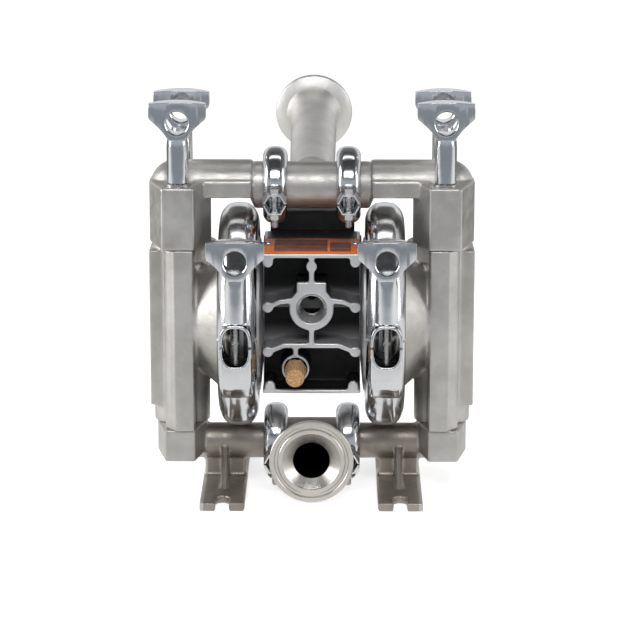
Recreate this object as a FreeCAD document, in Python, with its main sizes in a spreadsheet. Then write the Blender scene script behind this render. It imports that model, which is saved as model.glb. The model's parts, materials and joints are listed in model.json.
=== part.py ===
import FreeCAD, Part
import Sketcher
import math
import os
import re

# Air operated double diaphragm pump with clamped hygienic pipework.
# X runs along the diaphragm shaft, Y towards the rear, Z up from the floor.
# The origin is on the floor, under the middle of the shaft.

doc = FreeCAD.newDocument("DiaphragmPump")
sheet = doc.addObject("Spreadsheet::Sheet", "Sizes")

# Driving dimensions in millimetres, with angles in degrees
SIZES = [
    ("rod_offset", 23.0, "from the column out to each tie rod"),
    ("port_height", 26.0, "axis of the inlet manifold above the floor"),
    ("manifold_gap", 12.0, "from the large clamps to each manifold's axis"),
    ("chamber_depth", 14.6, "from the centre block to each diaphragm's rim"),
    ("column_reach", 35.5, "from each diaphragm's rim to its valve column"),
    ("slide_gap", 0.05, "running clearance on a radius"),
    ("free_gap", 0.3, "clearance between parts that must not rub"),
    ("block_half_width", 29.4, "centre block, half its width"),
    ("block_half_depth", 34.0, "centre block, half its depth"),
    ("block_rise", 44.6, "centre block, top above the shaft"),
    ("block_drop", 41.3, "centre block, underside below the shaft"),
    ("block_lid", 2.8, "centre block, top plate"),
    ("block_floor", 2.4, "centre block, bottom plate"),
    ("top_boss_drop", 8.1, "middle boss below the block's top"),
    ("lid_boss_drop", 5.2, "corner bosses below the block's top"),
    ("floor_boss_offset", 25.0, "bosses above the bottom plate from the middle"),
    ("floor_boss_rise", 4.6, "bosses above the underside"),
    ("rib_depth", 22.0, "depth of the open pockets in the front"),
    ("rear_pocket_depth", 17.5, "depth of the pockets in the rear"),
    ("web_wall", 3.0, "thickness of the webs between the pockets"),
    ("rib_boss_radius", 3.2, "small round bosses on the webs"),
    ("rib_boss_offset", 26.1, "from the middle to the bosses at the sides"),
    ("side_boss_rise", 0.7, "side bosses above the air inlet"),
    ("web_knee", 18.8, "where the curved web bends, from the middle"),
    ("web_knee_rise", 3.4, "the curved web at its bend, above its bosses"),
    ("web_crest_rise", 5.4, "the curved web in the middle, above its bosses"),
    ("port_rise", 11.0, "air inlet above the shaft"),
    ("port_boss_radius", 13.3, "boss around the air inlet"),
    ("port_lobe_rise", 16.2, "top of the boss's lobe above the air inlet"),
    ("port_bore_radius", 8.9, "air inlet bore"),
    ("port_bore_depth", 19.0, "depth of the air inlet bore"),
    ("passage_radius", 3.0, "air passage through the block"),
    ("passage_cover", 3.0, "metal between the bushes and the air passage"),
    ("lower_web_drop", 11.7, "lower web below the shaft"),
    ("low_boss_drop", 4.0, "lower side bosses below the lower web"),
    ("low_web_end", 16.2, "level part of the lower web from the middle"),
    ("rear_pocket_drop", 10.0, "top of the rear pockets below the shaft"),
    ("breather_offset", 9.6, "breather boss from the middle"),
    ("breather_drop", 26.0, "breather boss below the shaft"),
    ("breather_boss_radius", 8.3, "boss around the breather"),
    ("breather_collar_radius", 6.8, "steel collar of the breather silencer"),
    ("breather_thread_radius", 4.5, "thread of the breather silencer"),
    ("breather_flange", 3.0, "steel collar in front of the block"),
    ("breather_bore_past", 6.0, "breather's bore beyond the ribs"),
    ("breather_reach", 23.0, "bronze tip in front of the block"),
    ("breather_tip_radius", 5.6, "bronze tip at its end"),
    ("tip_draft", 0.9, "bronze tip wider at its foot"),
    ("tip_edge", 1.5, "rounded edge of the bronze tip"),
    ("tip_flat_inset", 1.8, "flat end of the bronze tip inside its radius"),
    ("tip_round", 3.0, "radius of that rounded edge"),
    ("shaft_radius", 6.0, "main shaft"),
    ("stud_radius", 4.0, "threaded ends of the main shaft"),
    ("bush_wall", 3.0, "wall of the shaft bushes"),
    ("bush_length", 12.0, "length of each shaft bush"),
    ("bush_inset", 5.0, "shaft bushes behind the block's sides"),
    ("seal_inset", 1.0, "shaft seals behind the block's sides"),
    ("seal_wall", 3.0, "section of the shaft seals"),
    ("seal_length", 3.0, "width of the shaft seals"),
    ("piston_radius", 24.0, "inner diaphragm pistons"),
    ("piston_thickness", 4.0, "inner diaphragm pistons"),
    ("cap_radius", 25.0, "outer diaphragm pistons"),
    ("cap_thickness", 7.8, "outer diaphragm pistons"),
    ("cap_crown", 30.0, "radius of the outer pistons' crowned face"),
    ("cap_floor", 2.0, "metal over the shaft's end, and the outer pistons' rim"),
    ("cap_flat_radius", 12.0, "flat end of the outer pistons"),
    ("piston_bevel", 3.0, "rounding of the inner pistons' rear edge"),
    ("shaft_stroke", 4.5, "shaft travel each way from the middle"),
    ("band_half_width", 11.7, "half the width of the large clamp bands"),
    ("band_radius", 68.0, "outer radius of the large clamp bands"),
    ("band_cover", 8.0, "large clamps beyond the flanges they hold"),
    ("band_lip_cover", 7.4, "how far the clamps' lips reach behind the flanges"),
    ("band_round", 9.5, "depth of the bands' rounded flanks"),
    ("band_lug_reach", 6.0, "clamp studs in front of the bands"),
    ("band_crown_inset", 2.0, "start of the rounded flanks inside the crowned face"),
    ("band_flank_radius", 12.0, "rounding of the bands' flanks"),
    ("band_crown_half", 7.2, "half of the bands' crowned outer face"),
    ("band_split", 1.5, "gap between the two halves of a band"),
    ("flange_rim", 3.0, "flange thickness at the rim"),
    ("flange_root", 6.0, "flange thickness at the foot of the taper"),
    ("flange_land", 8.0, "height of the flanges' taper"),
    ("band_gap", 0.2, "between the flanges and the bands"),
    ("rim_half", 1.2, "half the thickness of a diaphragm's rim"),
    ("rim_width", 10.0, "clamped width of a diaphragm's rim"),
    ("diaphragm_wave", 20.0, "radius of the diaphragm's rolling wave"),
    ("diaphragm_flat", 26.0, "radius where the rolling wave starts"),
    ("chamber_wall", 3.0, "back wall of the air chambers"),
    ("chamber_pad", 27.0, "radius of the pad against the centre block"),
    ("chamber_dish", 1.6, "back of the air chambers' dish in front of the pad"),
    ("chamber_land", 4.0, "width of the air chambers' clamped land"),
    ("chamber_step", 3.5, "depth of the air chambers' inner step"),
    ("chamber_slope", 7.0, "width of the air chambers' inner slope"),
    ("chamber_lip", 3.0, "start of that slope inside the rim"),
    ("pilot_rearward", 12.0, "pilot spool behind the shaft"),
    ("pilot_drop", 14.0, "pilot spool below the shaft"),
    ("pilot_radius", 3.5, "pilot spool"),
    ("pilot_ratio", 0.4, "pilot spool's travel for each millimetre of the shaft's"),
    ("band_lug_drop", 1.5, "middle of the clamp window below the shaft"),
    ("band_window_half", 13.5, "half the height of the clamp window's frame"),
    ("band_window_width", 12.0, "width of the flat ends of the clamp window"),
    ("band_window_bow", 27.8, "radius of the bowed sides of the clamp window"),
    ("band_window_wall", 2.0, "wall of the clamp window's frame"),
    ("band_lug_depth", 14.0, "clamp window's frame, front to back"),
    ("band_foot_drop", 12.5, "lower lug under the clamp window"),
    ("band_stud_radius", 2.5, "stud of the large clamps"),
    ("band_tee_radius", 4.0, "cross bar at the foot of the stud"),
    ("band_bar_over", 2.0, "cross bar beyond the window's flat, at each end"),
    ("band_stud_short", 3.0, "stud short of the end of the wing nut's thread"),
    ("wing_span", 34.0, "wing nuts across the head"),
    ("wing_thickness", 11.0, "wing nuts through the head"),
    ("wing_barrel_radius", 6.5, "barrel of the wing nuts"),
    ("wing_neck", 25.0, "where the barrel widens into the head"),
    ("wing_corner", 38.5, "where the head's sides turn upright"),
    ("wing_side_top", 47.6, "top of the head's upright sides"),
    ("wing_crown_radius", 104.0, "gentle crown over the head"),
    ("wing_end_thickness", 4.6, "wing nuts through the ends of the head"),
    ("wing_flank_radius", 40.0, "hollow of the head's flanks"),
    ("wing_barrel_inset", 4.0, "barrel inside the head below its corners"),
    ("wing_hole_radius", 7.8, "cross hole of the wing nuts"),
    ("wing_hole_height", 36.7, "cross hole above the base"),
    ("wing_bevel", 0.8, "bevel along the head's upright ends"),
    ("wing_thread_depth", 24.0, "threaded bore in the wing nuts"),
    ("rod_radius", 4.0, "tie rods"),
    ("rod_grip", 21.0, "tie rod inside the wing nut"),
    ("rod_anchor", 3.2, "metal left below each tie rod"),
    ("washer_radius", 7.5, "washers under the wing nuts"),
    ("washer_thickness", 1.5, "washers under the wing nuts"),
    ("column_radius", 17.0, "round valve column of the liquid chambers"),
    ("discharge_drop", 34.0, "foot of the discharge blocks below their manifold"),
    ("inlet_drop", 14.5, "top of the inlet blocks above their manifold"),
    ("elbow_cover", 3.8, "top of the discharge blocks above their manifold"),
    ("rod_boss_radius", 9.0, "rounded boss around each tie rod"),
    ("facet_near", 8.9, "flat rib from the column towards the middle"),
    ("facet_far", 2.8, "flat rib from the column outwards"),
    ("facet_proud", 0.4, "flat rib in front of the rounded boss"),
    ("pad_reach", 18.6, "outer flat of the column from its middle"),
    ("pad_half_depth", 13.0, "half the outer flat, front to back"),
    ("pad_top_inset", 4.0, "outer flat below the top of the column"),
    ("pad_foot_inset", 11.0, "outer flat above the foot of the column"),
    ("collar_radius", 18.0, "collar at the top of the column"),
    ("collar_shift", 4.0, "collar from the column towards the middle"),
    ("collar_height", 11.0, "height of the collar"),
    ("dome_step", 14.0, "bowl inside the flange's rim"),
    ("dome_draft", 13.0, "how much the bowl narrows outwards"),
    ("dome_inset", 8.0, "end of the bowl inside the column's middle"),
    ("dome_fillet", 3.0, "rounded steps of the bowl"),
    ("dome_round", 3.2, "radius of the bowl's rounded outer edge"),
    ("cavity_step", 22.0, "liquid cavity inside the flange's rim"),
    ("cavity_mouth", 5.0, "taper of the liquid cavity at the diaphragm"),
    ("crossing_inset", 5.0, "crossings inside the bowl's end"),
    ("waterway_radius", 8.0, "liquid passages"),
    ("crossing_radius", 7.0, "passages between the columns and the liquid cavities"),
    ("ball_radius", 9.5, "valve balls"),
    ("cage_gap", 0.9, "between a ball and its cage"),
    ("ball_rise", 6.0, "middle of a resting ball above its seat"),
    ("ball_lift", 5.0, "how far a ball lifts"),
    ("seat_radius", 12.5, "valve seats"),
    ("seat_bore_radius", 7.4, "hole in the valve seats"),
    ("seat_thickness", 4.0, "valve seats"),
    ("elbow_half_front", 9.4, "half the front flat of the discharge blocks"),
    ("elbow_half_side", 18.4, "half the width of the discharge blocks"),
    ("elbow_half_depth", 33.0, "half the depth of the discharge blocks"),
    ("elbow_side_flat", 5.0, "half the side flat of the discharge blocks"),
    ("run_radius", 15.3, "arched top of the discharge run"),
    ("run_floor", 5.6, "underside of the discharge run below its axis"),
    ("run_plate_rise", 4.8, "raised side plates of the run above its axis"),
    ("run_plate_proud", 0.7, "how far the side plates stand out"),
    ("run_turn", 2.5, "middle of the run's rounded end beyond the column"),
    ("run_bore_rise", 4.8, "passage in the run above the manifold's axis"),
    ("hub_start", 36.0, "where the run flares into its ferrule"),
    ("hub_flare", 1.5, "half the length of the flare in front of the run"),
    ("hub_inset", 6.0, "start of the hub beyond the manifold clamp"),
    ("ferrule_radius", 17.0, "small ferrules at the manifold clamps"),
    ("ferrule_neck", 14.2, "pipe just behind the small ferrules"),
    ("ferrule_rim", 1.9, "rim of the small ferrules"),
    ("ferrule_taper", 2.3, "length of the ferrules' taper"),
    ("ferrule_root", 4.0, "pipe left behind each small ferrule"),
    ("ferrule_bore_depth", 12.0, "wide bore at the discharge ferrules"),
    ("gasket_thickness", 1.6, "manifold gaskets"),
    ("manifold_bore", 11.0, "bore of the tees and their gaskets"),
    ("clamp_offset", 22.0, "small clamps from the middle"),
    ("clamp_radius", 23.3, "outer radius of the small clamps"),
    ("clamp_half_width", 7.3, "half the width of the small clamps"),
    ("clamp_crown_half", 4.2, "half of the small clamps' outer face"),
    ("clamp_crown_inset", 1.0, "start of the rounded flanks inside the crowned face"),
    ("clamp_flank_radius", 6.0, "rounding of the small clamps' flanks"),
    ("clamp_shoulder", 18.6, "radius where the small clamps' flanks round"),
    ("clamp_lip_radius", 15.2, "inner radius of the small clamps"),
    ("clamp_split", 1.0, "gap between the halves of a small clamp"),
    ("clamp_tilt", 11.7, "how far the small clamps lean forwards"),
    ("clamp_lug_forward", 27.6, "small clamp bolt from the manifold's axis"),
    ("clamp_window_half", 6.6, "half the height of the hexagonal window frame"),
    ("clamp_window_half_width", 7.3, "half its width, corner to corner"),
    ("clamp_window_flat", 3.9, "half its flat ends"),
    ("clamp_window_wall", 1.3, "wall of the hexagonal window frame"),
    ("clamp_frame_back", 19.4, "back of the hexagonal frame from the manifold's axis"),
    ("clamp_frame_front", 32.0, "front of the hexagonal frame from the manifold's axis"),
    ("clamp_bolt_radius", 2.1, "bolts of the small clamps"),
    ("clamp_bolt_tail", 16.4, "bolt end below the window's middle"),
    ("clamp_head_height", 3.4, "bolt heads and nuts of the small clamps"),
    ("clamp_nut_flat", 4.0, "bolt heads and nuts, half across the flats"),
    ("tee_radius", 14.2, "run of both tees"),
    ("port_ferrule_radius", 25.25, "ferrules of the two ports"),
    ("port_ferrule_rim", 2.9, "rim of the port ferrules"),
    ("port_ferrule_taper", 2.6, "length of the port ferrules' taper"),
    ("port_neck_radius", 17.6, "pipe just behind the port ferrules"),
    ("port_throat_radius", 10.8, "bore of the ports"),
    ("port_mouth_radius", 17.5, "mouth of the ports"),
    ("port_mouth_depth", 4.0, "depth of the mouth's cone"),
    ("port_root", 2.0, "where a port starts from the middle of its tee"),
    ("groove_radius", 21.2, "gasket groove in the port ferrules"),
    ("groove_section", 1.3, "half the width of the gasket groove"),
    ("groove_depth", 1.1, "depth of the gasket groove"),
    ("inlet_reach", 48.0, "inlet port in front of the manifold's axis"),
    ("inlet_hub_radius", 13.4, "inlet port between the tee and its ferrule"),
    ("inlet_flare", 6.0, "flare of the inlet port behind its ferrule"),
    ("outlet_reach", 174.0, "discharge port behind the manifold's axis"),
    ("outlet_tilt", 5.5, "rise of the discharge pipe"),
    ("outlet_root_radius", 13.6, "discharge pipe at the tee"),
    ("outlet_end_radius", 15.0, "discharge pipe near its ferrule"),
    ("outlet_flare", 11.0, "flare of the discharge pipe into its ferrule"),
    ("foot_block_half_front", 9.0, "half the front flat of the inlet blocks"),
    ("foot_block_drop", 5.1, "underside of the inlet blocks below the pipe's axis"),
    ("foot_block_half_side", 15.0, "half the width of the inlet blocks"),
    ("foot_block_half_depth", 31.0, "half the depth of the inlet blocks"),
    ("inlet_pipe_radius", 10.9, "pipe of the inlet elbows"),
    ("foot_inset", 26.3, "feet inside the valve columns"),
    ("foot_width", 27.0, "feet"),
    ("foot_half_length", 63.0, "half the length of the feet"),
    ("foot_thickness", 5.0, "feet"),
    ("pedestal_width", 25.0, "wall under the inlet pipe"),
    ("pedestal_half_depth", 5.0, "half the wall under the inlet pipe"),
    ("gusset_width", 4.0, "gusset on the feet"),
    ("gusset_reach", 36.0, "toe of the gusset from the middle"),
    ("gusset_root", 1.0, "gusset sunk into the feet"),
    ("gusset_inset", 0.4, "gusset inside the pipe it carries"),
    ("slot_radius", 4.0, "open slots in the feet"),
    ("slot_end", 47.5, "closed end of the slots from the middle"),
    ("plate_half_width", 28.5, "half the name plate"),
    ("plate_depth", 41.0, "name plate, front to back"),
    ("plate_thickness", 0.8, "name plate"),
    ("plate_inset", 0.5, "name plate behind the block's front edge"),
    ("plate_screw_offset", 26.2, "name plate screws from the middle"),
    ("plate_screw_back", 25.5, "name plate screws behind the front edge"),
    ("plate_screw_radius", 1.5, "name plate screws"),
    ("plate_screw_depth", 3.0, "name plate screws below the block's top plate"),
    ("plate_head_radius", 2.4, "heads of the name plate screws"),
    ("plate_head_top", 1.5, "name plate screw heads at their top"),
    ("plate_head_height", 1.4, "heads of the name plate screws"),
    ("valve_half_width", 26.0, "half the air valve body"),
    ("valve_depth", 31.0, "air valve body, front to back"),
    ("valve_top", 57.0, "top of the air valve above the shaft"),
    ("valve_foot", 2.0, "foot of the air valve above the shaft"),
    ("valve_gasket", 1.0, "gasket under the air valve"),
    ("spool_rise", 26.0, "air valve spool above the shaft"),
    ("spool_radius", 8.0, "air valve spool"),
    ("spool_travel", 4.0, "air valve spool travel each way"),
    ("spool_end_gap", 2.0, "left beyond the air valve spool at the end of its travel"),
    ("spool_waist", 0.6, "waists of the spool as a share of its radius"),
    ("spool_land_start", 0.7, "start of the spool's outer lands as a share of its half"),
    ("spool_land_middle", 0.15, "half the spool's middle land as a share of its half"),
    ("valve_cap_radius", 12.5, "end caps of the air valve"),
    ("valve_cap_thickness", 4.5, "end caps of the air valve"),
    ("valve_screw_radius", 2.5, "screws of the air valve"),
    ("valve_screw_inset", 5.0, "screws from the edges of the air valve body"),
    ("valve_screw_grip", 10.0, "depth of the air valve's screws in the block"),
    ("valve_screw_head_radius", 4.2, "heads of the air valve's screws"),
    ("valve_screw_head_height", 4.0, "heads of the air valve's screws"),
    ("muffler_radius", 12.5, "exhaust muffler"),
    ("muffler_length", 42.0, "exhaust muffler"),
    ("muffler_collar", 5.0, "chamfered collar of the exhaust muffler"),
    ("muffler_dome", 6.0, "rounded end of the exhaust muffler"),
    ("muffler_chamfer", 2.0, "chamfer of the muffler's collar"),
    ("muffler_draft", 1.0, "muffler narrower at its rounded end"),
    ("muffler_round", 6.5, "radius of the rounded end"),
    ("muffler_flat_radius", 5.5, "flat end of the exhaust muffler"),
    ("muffler_rise", 14.0, "exhaust muffler above the shaft"),
    ("muffler_thread_radius", 6.5, "exhaust muffler's thread"),
    ("muffler_thread_depth", 6.5, "exhaust muffler's thread in the valve body"),
]
# Sizes that follow from the ones above
DERIVED = {
    "manifold_rise": "band_radius + manifold_gap",
    "axis_height": "port_height + manifold_rise",
    "band_offset": "block_half_width + chamber_depth",
    "column_offset": "band_offset + column_reach",
    "band_shoulder": "band_radius - band_round",
    "band_lug_forward": "band_radius + band_lug_reach",
    "flange_radius": "band_radius - band_cover",
    "flange_neck": "flange_radius - flange_land",
    "band_lip_radius": "flange_radius - band_lip_cover",
    "rim_inner": "flange_radius - rim_width",
    "dome_radius": "flange_radius - dome_step",
    "dome_tip_radius": "dome_radius - dome_draft",
    "dome_tip": "column_offset - dome_inset",
    "cavity_radius": "flange_radius - cavity_step",
    "crossing_offset": "dome_tip_radius - crossing_inset",
    "column_top": "manifold_rise - discharge_drop",
    "column_bottom": "manifold_rise - inlet_drop",
    "pad_top": "column_top - pad_top_inset",
    "pad_bottom": "column_bottom - pad_foot_inset",
    "elbow_top": "manifold_rise + elbow_cover",
    "foot_block_bottom": "port_height - foot_block_drop",
    "foot_offset": "column_offset - foot_inset",
}
ALIASES = set()
for row_number, (alias, amount, meaning) in enumerate(SIZES, start=1):
    sheet.set("A" + str(row_number), meaning)
    sheet.set("B" + str(row_number), str(amount))
    sheet.setAlias("B" + str(row_number), alias)
    ALIASES.add(alias)
doc.recompute()

ALONG_X = FreeCAD.Rotation(FreeCAD.Vector(0, 1, 0), 90)
ALONG_Y = FreeCAD.Rotation(FreeCAD.Vector(1, 0, 0), -90)
UPRIGHT = FreeCAD.Rotation()
DIRECTIONS = {"x": ALONG_X, "y": ALONG_Y, "z": UPRIGHT}
ORIGIN = ("0", "0", "0")
HEXAGON_CORNERS = 6


def formula(text):
    """Turn the size names in a formula into cells of the sheet."""
    def cell(match):
        word = match.group()
        if word in DERIVED:
            return "(" + formula(DERIVED[word]) + ")"
        return "Sizes." + word if word in ALIASES else word
    return re.sub(r"[a-z][a-z_0-9]*", cell, str(text))


def amount_of(text):
    """The present value of a formula."""
    return float(sheet.evalExpression(formula(text)))


def bind(thing, **bindings):
    """Tie properties of an object to formulas."""
    for name, text in bindings.items():
        thing.setExpression(name, formula(text))
    return thing


def place(thing, base, turn=UPRIGHT):
    """Put an object at a base whose three coordinates are formulas."""
    thing.Placement = FreeCAD.Placement(FreeCAD.Vector(), turn)
    for letter, text in zip("xyz", base):
        thing.setExpression("Placement.Base." + letter, formula(text))
    return thing


def cylinder(name, radius, length, base=ORIGIN, along="z"):
    thing = doc.addObject("Part::Cylinder", name)
    bind(thing, Radius=radius, Height=length)
    return place(thing, base, DIRECTIONS[along])


def cone(name, radius_1, radius_2, length, base=ORIGIN, along="z"):
    thing = doc.addObject("Part::Cone", name)
    bind(thing, Radius1=radius_1, Radius2=radius_2, Height=length)
    return place(thing, base, DIRECTIONS[along])


def sphere(name, radius, centre=ORIGIN):
    thing = doc.addObject("Part::Sphere", name)
    bind(thing, Radius=radius)
    return place(thing, centre)


def ring(name, radius, section, centre=ORIGIN, along="z"):
    thing = doc.addObject("Part::Torus", name)
    bind(thing, Radius1=radius, Radius2=section)
    return place(thing, centre, DIRECTIONS[along])


def box(name, x_range, y_range, z_range):
    """A box between two formulas along each axis."""
    thing = doc.addObject("Part::Box", name)
    bind(
        thing,
        Length="(" + x_range[1] + ") - (" + x_range[0] + ")",
        Width="(" + y_range[1] + ") - (" + y_range[0] + ")",
        Height="(" + z_range[1] + ") - (" + z_range[0] + ")",
    )
    return place(thing, (x_range[0], y_range[0], z_range[0]))


def nut_prism(name, half_flat, length, base=ORIGIN, along="z"):
    thing = doc.addObject("Part::Prism", name)
    thing.Polygon = HEXAGON_CORNERS
    bind(thing, Circumradius="(" + half_flat + ") / cos(30)", Height=length)
    return place(thing, base, DIRECTIONS[along])


def joined(name, parts):
    thing = doc.addObject("Part::MultiFuse", name)
    thing.Shapes = parts
    thing.Refine = True
    return thing


def cut(name, base, tools):
    """Take one or more tools out of a base."""
    tool = tools[0]
    if len(tools) > 1:
        tool = doc.addObject("Part::MultiFuse", name + "_tools")
        tool.Shapes = tools
    thing = doc.addObject("Part::Cut", name)
    thing.Base = base
    thing.Tool = tool
    thing.Refine = True
    return thing


def overlap(name, first, second):
    thing = doc.addObject("Part::Common", name)
    thing.Base = first
    thing.Tool = second
    return thing


def group(name, parts):
    """Separate solids that share one file."""
    thing = doc.addObject("Part::Compound", name)
    thing.Links = parts
    return thing


def mirrored(name, source):
    """The same piece on the other side of the middle."""
    thing = doc.addObject("Part::Mirroring", name)
    thing.Source = source
    thing.Normal = FreeCAD.Vector(1, 0, 0)
    thing.Base = FreeCAD.Vector(0, 0, 0)
    return thing


def arc_middle(start, end, radius):
    """Middle point of the short arc that bows to the left of its chord."""
    chord = end - start
    half = chord.Length / 2
    reach = abs(radius)
    sagitta = reach - math.sqrt(max(reach * reach - half * half, 0.0))
    side = FreeCAD.Vector(-chord.y, chord.x, 0).normalize()
    return (start + end) * 0.5 + side * math.copysign(sagitta, radius)


def outline(body, plane, points):
    """Draw a closed outline whose corners are all tied to the sheet.

    A point is (across, up), or (across, up, radius) where an arc of that
    radius leads from it to the next point. The arc bows to the left of its
    chord, or to the right where the radius starts with a minus sign.
    """
    sketch = body.newObject("Sketcher::SketchObject", body.Name + "_outline")
    support = [item for item in body.Origin.OriginFeatures if item.Role == plane][0]
    sketch.AttachmentSupport = (support, [""])
    sketch.MapMode = "FlatFace"
    corners = [FreeCAD.Vector(amount_of(p[0]), amount_of(p[1]), 0) for p in points]
    count = len(points)
    starts = []
    for index, point in enumerate(points):
        start = corners[index]
        end = corners[(index + 1) % count]
        if len(point) == 3:
            middle = arc_middle(start, end, amount_of(point[2]))
            sketch.addGeometry(Part.Arc(start, middle, end), False)
        else:
            sketch.addGeometry(Part.LineSegment(start, end), False)
        near = sketch.getPoint(index, 1).distanceToPoint(start) < 1e-6
        starts.append(1 if near else 2)
    for index in range(count):
        following = (index + 1) % count
        sketch.addConstraint(
            Sketcher.Constraint("Coincident", index, 3 - starts[index], following, starts[following])
        )
    for index, point in enumerate(points):
        corner = corners[index]
        for kind, amount, text in (("DistanceX", corner.x, point[0]), ("DistanceY", corner.y, point[1])):
            number = sketch.addConstraint(
                Sketcher.Constraint(kind, -1, 1, index, starts[index], amount)
            )
            sketch.setExpression("Constraints[" + str(number) + "]", formula(text))
        if len(point) == 3:
            radius_text = point[2].lstrip("-")
            number = sketch.addConstraint(
                Sketcher.Constraint("Radius", index, amount_of(radius_text))
            )
            sketch.setExpression("Constraints[" + str(number) + "]", formula(radius_text))
    return sketch


def turned(name, along, points, base=ORIGIN, turn=UPRIGHT):
    """A body turned about its own X, Y or Z axis.

    The outline's points are (along the axis, radius).
    """
    body = doc.addObject("PartDesign::Body", name)
    if along == "x":
        sketch = outline(body, "XZ_Plane", points)
        axis = "H_Axis"
    elif along == "y":
        sketch = outline(body, "YZ_Plane", points)
        axis = "H_Axis"
    else:
        swapped = [(p[1], p[0]) + tuple(flipped(r) for r in p[2:]) for p in points]
        sketch = outline(body, "XZ_Plane", swapped)
        axis = "V_Axis"
    feature = body.newObject("PartDesign::Revolution", name + "_turn")
    feature.Profile = sketch
    feature.ReferenceAxis = (sketch, [axis])
    sketch.Visibility = False
    return place(body, base, turn)


def flipped(radius):
    """The radius of the same arc when its outline is drawn mirrored."""
    return radius[1:] if radius.startswith("-") else "-" + radius


def plate(name, plane, points, thickness, base=ORIGIN, turn=UPRIGHT):
    """A body padded from an outline, half the thickness each way."""
    body = doc.addObject("PartDesign::Body", name)
    sketch = outline(body, plane, points)
    feature = body.newObject("PartDesign::Pad", name + "_pad")
    feature.Profile = sketch
    feature.SideType = "Symmetric"
    bind(feature, Length=thickness)
    sketch.Visibility = False
    return place(body, base, turn)


nodes = []


def finish(thing, label):
    """Name a finished sub-part after its file."""
    thing.Label = label
    nodes.append(thing)
    return thing


LEFT_AND_RIGHT = (("left", "-1"), ("right", "1"))
FRONT_AND_REAR = (("front", "-1"), ("rear", "1"))
TOP_AXIS = "(axis_height + manifold_rise)"
LOW_AXIS = "(axis_height - manifold_rise)"
BLOCK_TOP = "(axis_height + block_rise)"
BLOCK_BOTTOM = "(axis_height - block_drop)"
RIB_BACK = "(rib_depth - block_half_depth)"
CHAMBER_TOP = "(axis_height + column_top)"
CHAMBER_BOTTOM = "(axis_height - column_bottom)"
ELBOW_TOP = "(axis_height + elbow_top)"
PASSAGE_HEIGHT = "(axis_height + shaft_radius + bush_wall + passage_radius + passage_cover)"
PISTON_BACK = "(band_offset - rim_half - piston_thickness)"
PILOT_HALF = "(" + PISTON_BACK + " - shaft_stroke * (1 - pilot_ratio) - free_gap)"
CAVITY_END = "(band_offset + rim_half + cap_thickness + shaft_stroke + free_gap)"
BALL_STOP = "sqrt(ball_radius ^ 2 - waterway_radius ^ 2)"
CAGE_HEIGHT = "(seat_thickness + ball_rise + ball_lift + " + BALL_STOP + " + free_gap)"
SPOOL_HALF = "(valve_half_width - spool_travel - spool_end_gap)"


# Centre block: a core with ribs, bosses and plates that reach the open front
def rib_bar(name, start, end, wall):
    """A straight rib seen from the front, from one point to another."""
    half = "(" + wall + ") / 2"
    points = [
        (start[0], start[1] + " - " + half),
        (end[0], end[1] + " - " + half),
        (end[0], end[1] + " + " + half),
        (start[0], start[1] + " + " + half),
    ]
    middle = "-block_half_depth + rib_depth / 2"
    return plate(name, "XZ_Plane", points, "rib_depth", ("0", middle, "0"))


def front_boss(name, x, z, radius):
    return cylinder(name, radius, "rib_depth", (x, "-block_half_depth", z), "y")


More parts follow.
